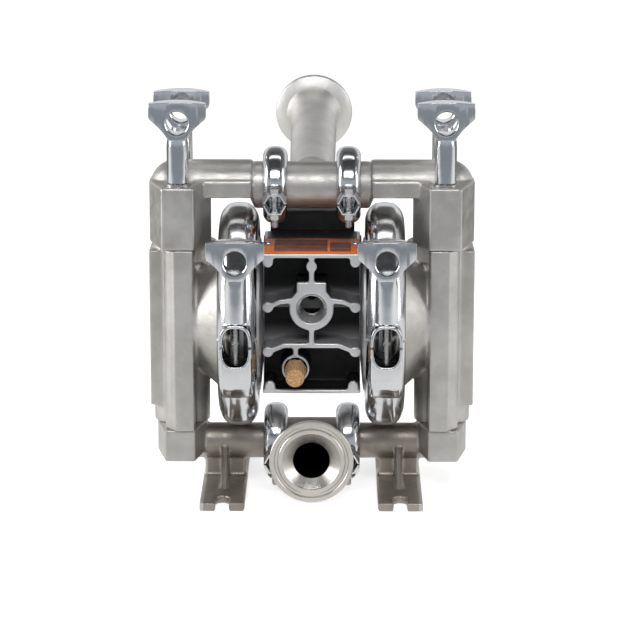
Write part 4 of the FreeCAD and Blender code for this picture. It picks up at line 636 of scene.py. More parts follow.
@dataclass(frozen=True)
class PolishedSteel:
    """Polished stainless steel with faint lapping marks and a slight hand-polished wave."""

    name: str
    colour: Colour = (0.72, 0.73, 0.745)
    smooth: float = 0.10
    rough: float = 0.20
    stretch: Colour = (1.0, 1.0, 12.0)
    dimming: float = 0.93

    def material(self) -> bpy.types.Material:
        """Build the polished steel's material."""
        board = NodeBoard(self.name)
        tint = board.spread(board.noise(90.0), 0.0, 1.0)
        dimmer = tuple(channel * self.dimming for channel in self.colour)
        sheen = board.spread(board.noise(260.0, 4.0, 0.6, self.stretch), self.smooth, self.rough)
        board.surface(board.blend(tint, dimmer, self.colour), sheen, 1.0)
        board.bump(board.noise(75.0, 1.0), 0.0006, 0.30)
        board.bump(board.noise(1500.0, 2.0, 0.6, self.stretch), 0.00001, 0.35)
        return board.material


@dataclass(frozen=True)
class PlainFinish:
    """A coated, moulded or rubber surface with fine texture."""

    name: str
    light: Colour
    dark: Colour
    smooth: float
    rough: float
    grain: float
    depth: float
    metallic: float = 0.0

    def material(self) -> bpy.types.Material:
        """Build the surface's material."""
        board = NodeBoard(self.name)
        tone = board.spread(board.noise(60.0, 4.0), 0.0, 1.0)
        sheen = board.spread(board.noise(200.0), self.smooth, self.rough)
        board.surface(board.blend(tone, self.dark, self.light), sheen, self.metallic)
        board.bump(board.noise(self.grain, 3.0), self.depth, 0.6)
        return board.material


@dataclass(frozen=True)
class ShadedPocket:
    """Inside of the block's pockets: nearly black painted shade, with a soft painted reflection just above
    each rib.
    """

    name: str
    low_rib: float = 91.5 * MM
    high_rib: float = 115.0 * MM
    reach: float = 13.0 * MM
    rib_half: float = 2.0 * MM
    # dark is the pocket's painted shade; sheen is the grey of the painted reflection above each rib.
    dark: Colour = (0.010, 0.010, 0.011)
    sheen: Colour = (0.30, 0.30, 0.31)
    smooth: float = 0.48
    rough: float = 0.62
    gloss: float = 0.25

    def material(self) -> bpy.types.Material:
        """Build the pocket's material of painted shade and painted reflection."""
        board = NodeBoard(self.name)
        height = board.along(Axis.Z)
        # Paint a reflection: a grey band that fades upwards from just below each rib.
        painted_reflection_bands = []
        for rib in (self.low_rib, self.high_rib):
            fall = board.spread(height, 1.0, 0.0, rib, rib + self.reach)
            above = board.maths("GREATER_THAN", height, rib - self.rib_half)
            painted_reflection_bands.append(board.maths("MULTIPLY", fall, above))
        share = board.maths("MAXIMUM", *painted_reflection_bands)
        roughness = board.spread(board.noise(200.0), self.smooth, self.rough)
        board.surface(board.blend(share, self.dark, self.sheen), roughness, 0.0)
        plug(board.shader.inputs["Specular IOR Level"], self.gloss)
        board.bump(board.noise(900.0, 2.0), 0.00008, 0.5)
        return board.material


@dataclass(frozen=True)
class TurnedSteel:
    """Stainless steel turned on a lathe, with fine rings about an axis."""

    name: str
    direction: Axis
    centre: Colour
    lean: float = 0.0
    colour: Colour = (0.66, 0.63, 0.585)
    pitch: float = 0.8 * MM
    smooth: float = 0.27
    rough: float = 0.35
    dimming: float = 0.88

    def material(self) -> bpy.types.Material:
        """Build the turned steel's material."""
        board = NodeBoard(self.name)
        tint = board.spread(board.noise(70.0, 4.0), 0.0, 1.0)
        dimmer = tuple(channel * self.dimming for channel in self.colour)
        sheen = board.spread(board.noise(220.0), self.smooth, self.rough)
        board.surface(board.blend(tint, dimmer, self.colour), sheen, 1.0)
        inputs = {"Vector": board.coordinates, "Location": self.centre,
                  "Rotation": (math.radians(self.lean), 0.0, 0.0)}
        mapping = add_node(board.tree, "Mapping", inputs, vector_type="TEXTURE")
        inputs = {"Vector": mapping.outputs["Vector"], "Scale": 2 * math.pi / (20.0 * self.pitch),
                  "Distortion": 0.0}
        rings = add_node(board.tree, "TexWave", inputs, wave_type="RINGS",
                         rings_direction=self.direction.name)
        board.bump(rings.outputs["Fac"], 0.00003, 0.5)
        board.bump(board.noise(900.0, 2.0), 0.000006, 0.2)
        return board.material


@dataclass(frozen=True)
class SinteredBronze:
    """Pressed bronze grains of a silencer."""

    name: str
    light: Colour = (0.88, 0.56, 0.27)
    dark: Colour = (0.42, 0.23, 0.10)

    def material(self) -> bpy.types.Material:
        """Build the sintered bronze's material."""
        board = NodeBoard(self.name)
        grains = board.cells(1500.0)
        tone = board.spread(grains, 1.0, 0.0, 0.2, 0.75)
        board.surface(board.blend(tone, self.dark, self.light), 0.60, 0.25)
        board.bump(board.spread(grains, 1.0, 0.0, 0.1, 0.8), 0.00035, 0.8)
        return board.material


class Finishes:
    """Every finish on the pump, with the painted shade and painted light, built once."""

    def __init__(self) -> None:
        """Build the materials."""
        self.cast = BlastedCasting("blasted_stainless", (0.60, 0.585, 0.56), (0.46, 0.445, 0.42),
                                   0.36, 0.50).material()
        # A darker copy of the casting for the parts low under the pump: partly their own darker metal, partly
        # painted shade under the pump.
        self.low_cast = BlastedCasting("blasted_stainless_low", (0.40, 0.365, 0.325), (0.29, 0.26, 0.23),
                                       0.34, 0.48).material()
        # A lighter copy of the casting for the discharge pipe: partly the pipe's own brighter machined metal,
        # partly painted light on the rising pipe.
        self.pipe = BlastedCasting("blasted_stainless_pipe", (0.78, 0.765, 0.74), (0.66, 0.645, 0.62),
                                   0.34, 0.46).material()
        self.block = BlastedCasting("block_casting", (0.72, 0.72, 0.73), (0.64, 0.64, 0.65),
                                    0.36, 0.48).material()
        # Painted shade in the block's pockets, with a painted reflection above each rib.
        self.pocket = ShadedPocket("block_pocket").material()
        # Painted shade: near-black for the inside of the tees' bores.
        self.bore = PlainFinish("dark_bore", (0.020, 0.018, 0.016), (0.012, 0.011, 0.010), 0.35, 0.50,
                                300.0, 0.00005, 1.0).material()
        self.polished = PolishedSteel("polished_stainless").material()
        self.wing = PolishedSteel("wing_nut_stainless", (0.78, 0.79, 0.81), 0.08, 0.15).material()
        self.turned = PolishedSteel("turned_steel", (0.60, 0.60, 0.60), 0.22, 0.34).material()
        self.coating = PlainFinish("black_coating", (0.035, 0.035, 0.038), (0.022, 0.022, 0.024), 0.34, 0.5,
                                   1200.0, 0.00006).material()
        self.plastic = PlainFinish("black_plastic", (0.04, 0.04, 0.042), (0.03, 0.03, 0.032), 0.45, 0.6,
                                   700.0, 0.00012).material()
        self.white = PlainFinish("white_elastomer", (0.80, 0.79, 0.76), (0.74, 0.73, 0.70), 0.4, 0.55,
                                 500.0, 0.00005).material()
        self.rubber = PlainFinish("black_rubber", (0.03, 0.03, 0.03), (0.02, 0.02, 0.02), 0.55, 0.7,
                                  900.0, 0.00008).material()
        self.bush = PlainFinish("bearing_bronze", (0.62, 0.44, 0.22), (0.52, 0.36, 0.17), 0.3, 0.42,
                                600.0, 0.00003, 1.0).material()
        self.orange = PlainFinish("orange_enamel", (0.86, 0.21, 0.03), (0.74, 0.16, 0.02), 0.42, 0.55,
                                  400.0, 0.00003).material()
        self.bronze = SinteredBronze("sintered_bronze").material()
        self.plate_ink = PlainFinish("plate_ink", (0.17, 0.050, 0.024), (0.11, 0.034, 0.018), 0.42, 0.55,
                                     400.0, 0.00002).material()
        self.turned_port = TurnedSteel("turned_port", Axis.Y, (0.0, 0.0, INLET_HEIGHT)).material()
        self.air_port = TurnedSteel("turned_air_port", Axis.Y, (0.0, 0.0, AIR_INLET_HEIGHT), 0.0,
                                    (0.62, 0.62, 0.62), 0.0012).material()
        # Painted shade: dark steel for the inside walls of the band windows.
        self.shade = PlainFinish("shaded_steel", (0.16, 0.155, 0.15), (0.10, 0.10, 0.10), 0.22, 0.34,
                                 300.0, 0.00003, 1.0).material()
        self.turned_rear = TurnedSteel("turned_rear_port", Axis.Y, (0.0, 0.0, DISCHARGE_HEIGHT), 5.5,
                                       (0.64, 0.615, 0.575)).material()

    def by_slot(self) -> dict[str, bpy.types.Material]:
        """The finish of each of the record's material slots."""
        return {
            "cast_stainless": self.cast,
            "polished_stainless": self.polished,
            "block_aluminium": self.block,
            "plain_steel": self.turned,
            "dark_coating": self.coating,
            "dark_plastic": self.plastic,
            "orange_plate": self.orange,
            "sintered_bronze": self.bronze,
            "white_elastomer": self.white,
            "black_elastomer": self.rubber,
            "bearing_bronze": self.bush,
        }


BODY_OF = {node: body for body, members in frame["record"]["behaviour"]["bodies"].items() for node in members}
SLOT_OF = {part["node"]: part["material_slot"] for part in frame["record"]["subparts"]}


def install(piece: bpy.types.Object, node: str, materials: list[bpy.types.Material]) -> bpy.types.Object:
    """Finish a piece that stands for a CAD node.

    Args:
        piece: The piece.
        node: The CAD node that it replaces.
        materials: Its finishes, in the order of its faces' material numbers.

    Returns:
        The piece.
    """
    piece.data.materials.clear()
    for material in materials:
        piece.data.materials.append(material)
    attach(piece, BODY_OF[node])
    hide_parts(node)
    log.info("%s: %d faces for %s", piece.name, len(piece.data.polygons), node)
    return piece


def dress_frame(finishes: Finishes) -> None:
    """Give every CAD node the finish of its slot."""
    by_slot = finishes.by_slot()
    for node, thing in frame["nodes"].items():
        thing.data.materials.clear()
        thing.data.materials.append(by_slot[SLOT_OF[node]])
        Workbench.shade(thing)
        log.info("%s: finished as %s", node, SLOT_OF[node])


@dataclass
class Studio:
    """White sweep, soft lamps and the camera of the picture."""

    aim: Vector = Vector((0.0, 0.0, 0.108))
    distance: float = 1.621
    pitch: float = 13.4
    turn: float = 0.47
    lens: float = 154.45
    shift: Point = (-2.0 / 620.0, 0.5 / 620.0)
    view_reach: float = 60.0
    floor_size: float = 14.0
    floor_height: float = -0.2 * MM
    floor_lift: float = 0.60
    floor_front: Colour = (0.27, 0.29, 0.32)
    front_share: Colour = (0.62, 0.65, 0.69)
    floor_middle: Colour = (0.90, 0.90, 0.89)
    floor_rear: Colour = (0.20, 0.20, 0.20)
    floor_spots: tuple[float, ...] = (0.05, 0.42, 0.60, 0.78)
    white: Colour = (1.0, 1.0, 1.0)
    front_reach: Point = (-0.75, 0.1)
    ambient: float = 0.42
    gloss_stops: tuple[Point, ...] = ((0.0, 0.45), (0.50, 0.72), (0.63, 0.78), (0.76, 0.20), (1.0, 0.05))
    lamps: tuple[tuple[str, Colour, Point, float], ...] = (
        ("softbox_top", (0.0, 0.25, 1.5), (1.2, 0.22), 1.7),
        ("softbox_front", (0.0, -1.25, 1.3), (1.2, 0.45), 12.0),
        ("softbox_left", (-1.4, -0.15, 0.6), (0.6, 1.0), 12.0),
        ("softbox_right", (1.4, -0.35, 0.6), (0.6, 1.0), 5.0),
    )

    def build(self) -> None:
        """Set up floor, world, lamps and camera."""
        bpy.context.scene.view_settings.view_transform = "Standard"
        self.floor()
        self.world()
        for lamp in self.lamps:
            self.lamp(*lamp)
        self.camera()

    def floor(self) -> None:
        """White floor that keeps the pump's soft shadow."""
        Workbench.clear()
        bpy.ops.mesh.primitive_plane_add(size=self.floor_size, location=(0.0, 0.0, self.floor_height))
        ground = bpy.context.object
        ground.name = "studio_floor"
        board = NodeBoard("studio_white")
        board.surface((0.9, 0.9, 0.9, 1.0), 0.9, 0.0)
        path = add_node(board.tree, "LightPath")
        lift = board.maths("MULTIPLY", path.outputs["Is Camera Ray"], self.floor_lift)
        glow = add_node(board.tree, "Emission", {"Strength": lift})
        both = add_node(board.tree, "AddShader", {0: board.shader.outputs[0], 1: glow.outputs[0]})
        ahead = add_node(board.tree, "MapRange", {"Value": board.along(Axis.Y), "From Min": -1.0})
        shades = (self.floor_front, self.floor_middle, self.floor_middle, self.floor_rear)
        tones = self.ramp(board.tree, ahead.outputs["Result"], list(zip(self.floor_spots, shades)))
        mirror = add_node(board.tree, "Emission", {"Color": tones})
        ways = {0: path.outputs["Is Glossy Ray"], 1: both.outputs[0], 2: mirror.outputs[0]}
        seen = add_node(board.tree, "MixShader", ways)
        plug(board.tree.nodes["Material Output"].inputs["Surface"], seen.outputs[0])
        ground.data.materials.append(board.material)

    @staticmethod
    def ramp(tree: bpy.types.NodeTree, value: bpy.types.NodeSocket,
             stops: list[tuple[float, Colour]]) -> bpy.types.NodeSocket:
        """Run a value through soft bands of colour.

        Args:
            tree: The node tree.
            value: The value, from 0 to 1.
            stops: Where each colour stands, and the colour.

        Returns:
            The colour.
        """
        node = add_node(tree, "ValToRGB", {"Fac": value})
        node.color_ramp.interpolation = "EASE"
        elements = node.color_ramp.elements
        while len(elements) < len(stops):
            elements.new(0.5)
        for element, (spot, tone) in zip(elements, stops):
            element.position = spot
            element.color = (*tone, 1.0)
        return node.outputs["Color"]

    def world(self) -> None:
        """White to the camera, an even glow as light, and a studio with dark corners in the gloss."""
        world = bpy.data.worlds.new("studio")
        bpy.context.scene.world = world
        world.use_nodes = True
        tree = world.node_tree
        tree.nodes.clear()
        place = add_node(tree, "TexCoord")
        split = add_node(tree, "SeparateXYZ", {0: place.outputs["Generated"]})
        lift = add_node(tree, "MapRange", {"Value": split.outputs["Z"], "From Min": -1.0})
        stops = [(spot, (level, level, level * 1.02)) for spot, level in self.gloss_stops]
        heights = self.ramp(tree, lift.outputs["Result"], stops)
        inputs = {"Value": split.outputs["Y"], "From Min": self.front_reach[0],
                  "From Max": self.front_reach[1]}
        rear = add_node(tree, "MapRange", inputs, interpolation_type="SMOOTHSTEP")
        front = mix(tree, rear.outputs["Result"], self.front_share, self.white)
        gloss = mix(tree, 1.0, heights, front, "MULTIPLY")
        path = add_node(tree, "LightPath")
        light = mix(tree, path.outputs["Is Glossy Ray"], (self.ambient,) * 3, gloss)
        seen = mix(tree, path.outputs["Is Camera Ray"], light, self.white)
        background = add_node(tree, "Background", {"Color": seen})
        add_node(tree, "OutputWorld", {"Surface": background.outputs[0]})

    def lamp(self, name: str, place: Colour, size: Point, power: float) -> None:
        """A rectangular softbox that points at the pump.

        Args:
            name: The lamp's name.
            place: Where it hangs.
            size: Its width and height.
            power: Its power in watts.
        """
        data = bpy.data.lights.new(name, "AREA")
        data.shape = "RECTANGLE"
        data.size, data.size_y = size
        data.energy = power
        box = bpy.data.objects.new(name, data)
        box.location = place
        box.rotation_euler = (self.aim - Vector(place)).to_track_quat("-Z", "Y").to_euler()
        bpy.context.scene.collection.objects.link(box)

    def camera(self) -> None:
        """The picture's camera: a long lens, a little above the pump."""
        pitch, turn = math.radians(self.pitch), math.radians(self.turn)
        look = Vector((-math.sin(turn) * math.cos(pitch), math.cos(turn) * math.cos(pitch), -math.sin(pitch)))
        data = bpy.data.cameras.new("picture_camera")
        data.lens = self.lens
        data.sensor_width = 36.0
        data.shift_x, data.shift_y = self.shift
        data.clip_end = self.view_reach
        camera = bpy.data.objects.new("picture_camera", data)
        camera.location = self.aim - look * self.distance
        camera.rotation_euler = look.to_track_quat("-Z", "Y").to_euler()
        bpy.context.scene.collection.objects.link(camera)
        bpy.context.scene.camera = camera


@dataclass
class WingNut:
    """Polished wing nut: a barrel that flares into a lens shaped head with a cross hole."""

    barrel_radius: float = 6.5 * MM
    barrel_top: float = 31.0 * MM
    point: float = 26.0 * MM
    corner: float = 38.5 * MM
    side_top: float = 47.6 * MM
    half_span: float = 17.0 * MM
    crown_radius: float = 104.0 * MM
    flank_radius: float = 40.0 * MM
    middle_thickness: float = 12.2 * MM
    end_thickness: float = 4.6 * MM
    hole_radius: float = 6.7 * MM
    hole_height: float = 36.7 * MM
    bore_depth: float = 24.0 * MM
    chamfer: float = 0.95 * MM
    band_seat: float = 118.0 * MM
    rod_seat: float = 191.3 * MM

    def cross_hole(self) -> bpy.types.Object:
        """The tool that cuts the cross hole."""
        start = Vector((0, -20 * MM, self.hole_height))
        return Workbench.rod("hole", Axis.Y, start, self.hole_radius, 40 * MM, 72)

    def countersink(self) -> bpy.types.Object:
        """The tool that cuts the cross hole with a wide chamfer at both ends."""
        r, t = self.hole_radius, self.middle_thickness / 2
        half = [(0.0, r), (t - self.chamfer, r), (t + 0.3 * self.chamfer, r + 1.3 * self.chamfer),
                (t + 2 * MM, r + 1.3 * self.chamfer)]
        profile = [(-y, x) for y, x in reversed(half)] + half[1:]
        profile = [(profile[0][0], 0.0)] + profile + [(profile[-1][0], 0.0)]
        return Workbench.lathe("countersink", Axis.Y, Vector((0, 0, self.hole_height)), profile, 96)

    def head(self) -> bpy.types.Object:
        """Model the flat head: a crowned plate, thick in the middle, that ends in a point below."""
        s = self.half_span
        foot, shoulder = (self.barrel_radius - 1.6 * MM, self.point), (s - 1.6 * MM, self.corner - 1.15 * MM)
        right = [foot] + arc(foot, shoulder, self.flank_radius, 8) + [shoulder]
        right += [(s - 0.45 * MM, self.corner - 0.2 * MM), (s, self.corner + 1.1 * MM), (s, self.side_top)]
        left = [(-x, z) for x, z in reversed(right)]
        crown = arc((s, self.side_top), (-s, self.side_top), -self.crown_radius, 12)
        head = Workbench.slab("wing_nut", Plane.FRONT, right + crown + left, 14 * MM, Vector((0, 0, 0)))
        t, e = self.middle_thickness / 2, self.end_thickness / 2
        reach = s + MM
        lens_radius = (reach * reach + (t - e) ** 2) / (2 * (t - e))
        front = arc((-reach, -e), (reach, -e), -lens_radius, 24)
        back = [(-x, -y) for x, y in front]
        lens = [(-reach, -e)] + front + [(reach, -e), (reach, e)] + back + [(-reach, e)]
        form = Workbench.slab("lens", Plane.TOP, lens, 80 * MM, Vector((0, 0, 35 * MM)))
        Workbench.boolean(head, form, "INTERSECT")
        Workbench.bevel(head, 0.95 * MM, 4, 40.0)
        Workbench.boolean(head, self.countersink())
        return Workbench.bevel(head, 0.22 * MM, 2, 40.0)

    def model(self) -> bpy.types.Object:
        """Model one wing nut, standing on the frame's origin."""
        b, top = self.barrel_radius, self.barrel_top
        profile = [
            (0.0, 3.9 * MM), (0.0, b - 0.7 * MM), (0.2 * MM, b - 0.25 * MM), (0.6 * MM, b),
            (top - 9.5 * MM, b), (top - 6.0 * MM, b - 0.25 * MM), (top - 2.0 * MM, b - 0.7 * MM),
            (top, b - 0.9 * MM), (top, 0.0), (self.bore_depth, 0.0), (self.bore_depth - 1.5 * MM, 3.9 * MM),
        ]
        barrel = Workbench.lathe("barrel", Axis.Z, Vector((0, 0, 0)), profile, 72)
        Workbench.boolean(barrel, self.cross_hole())
        return Workbench.shade(Workbench.join(self.head(), barrel), 30.0)

    def build(self, finishes: Finishes) -> None:
        """Model one wing nut and set copies on all six studs."""
        pattern = self.model()
        spots = {}
        for side in Side:
            spots[f"large_clamp_wing_nut_{side.word}"] = Vector(
                (side.value * BAND_OFFSET, STUD_FORWARD, self.band_seat))
            for row in Row:
                spots[f"tie_rod_wing_nut_{row.word}_{side.word}"] = Vector(
                    (side.value * COLUMN_OFFSET, row.value * TIE_ROD_DEPTH, self.rod_seat))
        for node, spot in spots.items():
            piece = Workbench.copy(pattern, "polished_" + node, Matrix.Translation(spot))
            install(piece, node, [finishes.wing])
        bpy.data.objects.remove(pattern)


@dataclass
class Castings:
    """The blasted castings, softened from the CAD solids."""

    voxel: float = 0.9 * MM
    block_voxel: float = 0.75 * MM
    passes: int = 3
    block_passes: int = 2
    low_reach: float = 64.2 * MM
    pocket_half: float = 28.8 * MM
    pocket_depth: Point = (-31.8 * MM, 33.3 * MM)
    pocket_height: Point = (65.3 * MM, 150.0 * MM)
    saddle_half: float = 27.5 * MM
    saddle_front: float = 7.4 * MM
    saddle_bottom: float = 150.2 * MM

    def build(self, finishes: Finishes) -> None:
        """Soften and dress every casting."""
        upper = ("discharge_elbow_left", "discharge_elbow_right",
                 "liquid_chamber_left", "liquid_chamber_right")
        for node in upper:
            piece = Workbench.soften(node, "cast_" + node, self.voxel, self.passes)
            install(piece, node, [finishes.cast])
        for node in ("inlet_elbow_left", "inlet_elbow_right"):
            piece = Workbench.soften(node, "cast_" + node, self.voxel, self.passes)
            install(piece, node, [finishes.low_cast, finishes.cast])
            # Near the middle, under the pump, the inlet elbows get the darker copy with its painted shade;
            # their outer ends keep the plain casting.
            for face in piece.data.polygons:
                face.material_index = 1 if abs(face.center.x) > self.low_reach else 0
        self.build_block(finishes)

    def build_block(self, finishes: Finishes) -> None:
        """Soften the centre block and paint shade and a reflection into its pockets."""
        piece = Workbench.soften("centre_block", "cast_centre_block", self.block_voxel, self.block_passes)
        install(piece, "centre_block", [finishes.block, finishes.pocket, finishes.coating])
        # Faces inside the pockets get the pocket material with its painted shade and painted reflection.
        for face in piece.data.polygons:
            middle = face.center
            inside = (abs(middle.x) < self.pocket_half
                      and self.pocket_depth[0] < middle.y < self.pocket_depth[1]
                      and self.pocket_height[0] < middle.z < self.pocket_height[1])
            behind = (abs(middle.x) < self.saddle_half and middle.y > self.saddle_front
                      and middle.z > self.saddle_bottom)
            face.material_index = 1 if inside else 2 if behind else 0


def rounded(half_wide: float, half_tall: float, power: float, count: int = 48) -> list[Point]:
    """A closed outline between an ellipse and a rectangle.

    Args:
        half_wide: Half its width.
        half_tall: Half its height.
        power: 2 gives an ellipse, more brings it nearer to the rectangle.
        count: How many corners it has.

    Returns:
        The corners, in order.
    """
    points = []
    for step in range(count):
        angle = 2 * math.pi * (step + 0.5) / count
        c, s = math.cos(angle), math.sin(angle)
        points.append((half_wide * math.copysign(abs(c) ** (2 / power), c),
                       half_tall * math.copysign(abs(s) ** (2 / power), s)))
    return points


def thread(start: float, end: float, radius: float, pitch: float, depth: float) -> list[Point]:
    """Zigzag profile of a thread, as (along the axis, radius).

    Args:
        start: Where the thread starts.
        end: Where it ends.
        radius: Its outer radius.
        pitch: The distance between two ridges.
        depth: How deep it is cut.

    Returns:
        The profile's points, from start to end.
    """
    points = []
    for step in range(int((end - start) / pitch)):
        base = start + step * pitch
        points += [(base, radius - depth), (base + 0.35 * pitch, radius), (base + 0.65 * pitch, radius)]
    return points + [(end, radius - depth)]


@dataclass
class LargeClamps:
    """Polished band clamps in two halves, each pair with a window, a stud and a cross bar."""

    split: float = 104.5 * MM
    half_gap: float = 0.75 * MM
    frame_depth: float = 14.0 * MM
    snout_width: float = 19.0 * MM
    shaded_half: Point = (7.9 * MM, 11.8 * MM)
    shaded_depth: Point = (STUD_FORWARD - 5.0 * MM, STUD_FORWARD + 19.0 * MM)
    bar_height: float = 87.0 * MM
    stud_top: float = 138.5 * MM

    def section(self) -> list[Point]:
        """The band's closed section, as (along the shaft, radius)."""
        side = [(-10.7, 52.6), (-11.4, 52.9), (-11.7, 53.6), (-11.7, 58.5)]
        side += arc((-11.7, 58.5), (-5.2, 67.5), 12.0, 9) + [(-5.2, 67.5)]
        crown = arc((-5.2, 67.5), (5.2, 67.5), 27.3, 8)
        groove = [(8.2, 52.6), (7.5, 53.0), (4.4, 60.2), (-4.4, 60.2), (-7.5, 53.0), (-8.2, 52.6)]
        return in_metres(side + crown + [(-a, r) for a, r in reversed(side)] + groove)

    def window(self, grow: float) -> list[Point]:
        """The window's outline seen from the front, grown outwards."""
        return rounded(7.6 * MM + grow, 11.5 * MM + grow, 3.0)

    def half(self, upper: bool) -> bpy.types.Object:
        """Model one half of the right band.

        Args:
            upper: True for the half above the split.

        Returns:
            The half band.
        """
        middle = Vector((BAND_OFFSET, 0.0, SHAFT_HEIGHT))
        stud = Vector((BAND_OFFSET, STUD_FORWARD, self.split))
        cut_height = self.split + (self.half_gap if upper else -self.half_gap)
        cut = (Vector((0.0, 0.0, cut_height)), Vector((0.0, 0.0, -1.0 if upper else 1.0)))
        ring = Workbench.lathe("band", Axis.X, middle, self.section(), 192)
        Workbench.trim(ring, *cut)
        opening = Workbench.slab("opening", Plane.FRONT, self.window(0.0), 40 * MM, stud)
        Workbench.boolean(ring, opening)
        frame_piece = Workbench.slab("frame", Plane.FRONT, self.window(1.9 * MM), self.frame_depth, stud)
        opening = Workbench.slab("opening", Plane.FRONT, self.window(0.0), 40 * MM, stud)
        Workbench.boolean(frame_piece, opening)
        Workbench.bevel(frame_piece, 0.7 * MM, 3, 50.0)
        Workbench.trim(frame_piece, *cut)
        pieces = [ring, frame_piece]
        if not upper:
            lug = [(-60.5, 99.5), (-60.5, 69.0), (-64.0, 70.2), (-76.0, 77.4), (-80.0, 81.4), (-80.9, 85.0),
                   (-80.9, 99.5)]
            snout = Workbench.slab("snout", Plane.SIDE, in_metres(lug), self.snout_width,
                                   Vector((BAND_OFFSET, 0.0, 0.0)))
            Workbench.bevel(snout, 5.2 * MM, 7, 50.0)
            opening = Workbench.slab("opening", Plane.FRONT, self.window(0.0), 40 * MM, stud)
            pieces.append(Workbench.boolean(snout, opening))
        return Workbench.shade(Workbench.join(*pieces), 34.0)

    def bolt(self) -> bpy.types.Object:
        """Model the right band's threaded stud with the cross bar at its foot."""
        foot = Vector((BAND_OFFSET, STUD_FORWARD, self.bar_height))
        ridges = thread(3.0 * MM, self.stud_top - self.bar_height - 0.8 * MM, 2.48 * MM, 0.8 * MM, 0.42 * MM)
        profile = [(0.0, 0.0), (0.0, 2.4 * MM), (3.0 * MM, 2.4 * MM)] + ridges
        profile += [(self.stud_top - self.bar_height, 1.5 * MM), (self.stud_top - self.bar_height, 0.0)]
        stud = Workbench.lathe("stud", Axis.Z, foot, profile, 32)
        ends = [(0.0, 0.0), (0.0, 2.6), (0.5, 3.5), (1.3, 3.95), (14.7, 3.95), (15.5, 3.5), (16.0, 2.6),
                (16.0, 0.0)]
        bar = Workbench.lathe("bar", Axis.X, foot - Vector((8 * MM, 0.0, 0.0)), in_metres(ends), 48)
        return Workbench.shade(Workbench.join(stud, bar), 28.0)

    def shade_window(self, band: bpy.types.Object) -> None:
        """Paint shade onto the inside of a band's window with the darker shaded steel."""
        for face in band.data.polygons:
            across = (abs(face.center.x) - BAND_OFFSET) / self.shaded_half[0]
            up = (face.center.z - self.split) / self.shaded_half[1]
            deep = self.shaded_depth[0] < face.center.y < self.shaded_depth[1]
            face.material_index = 1 if deep and abs(across) ** 3 + abs(up) ** 3 < 1.0 else 0

    def build(self, finishes: Finishes) -> None:
        """Model the right band and mirror it to the left."""
        patterns = {"large_clamp_{}_upper": (self.half(True), finishes.polished),
                    "large_clamp_{}_lower": (self.half(False), finishes.polished),
                    "large_clamp_bolt_{}": (self.bolt(), finishes.turned)}
        for pattern, (piece, finish) in patterns.items():
            for side in Side:
                node = pattern.format(side.word)
                change = MIRROR if side is Side.LEFT else Matrix.Identity(4)
                twin = Workbench.copy(piece, "dressed_" + node, change)
                install(twin, node, [finish, finishes.shade])
                if finish is finishes.polished:
                    self.shade_window(twin)
            bpy.data.objects.remove(piece)


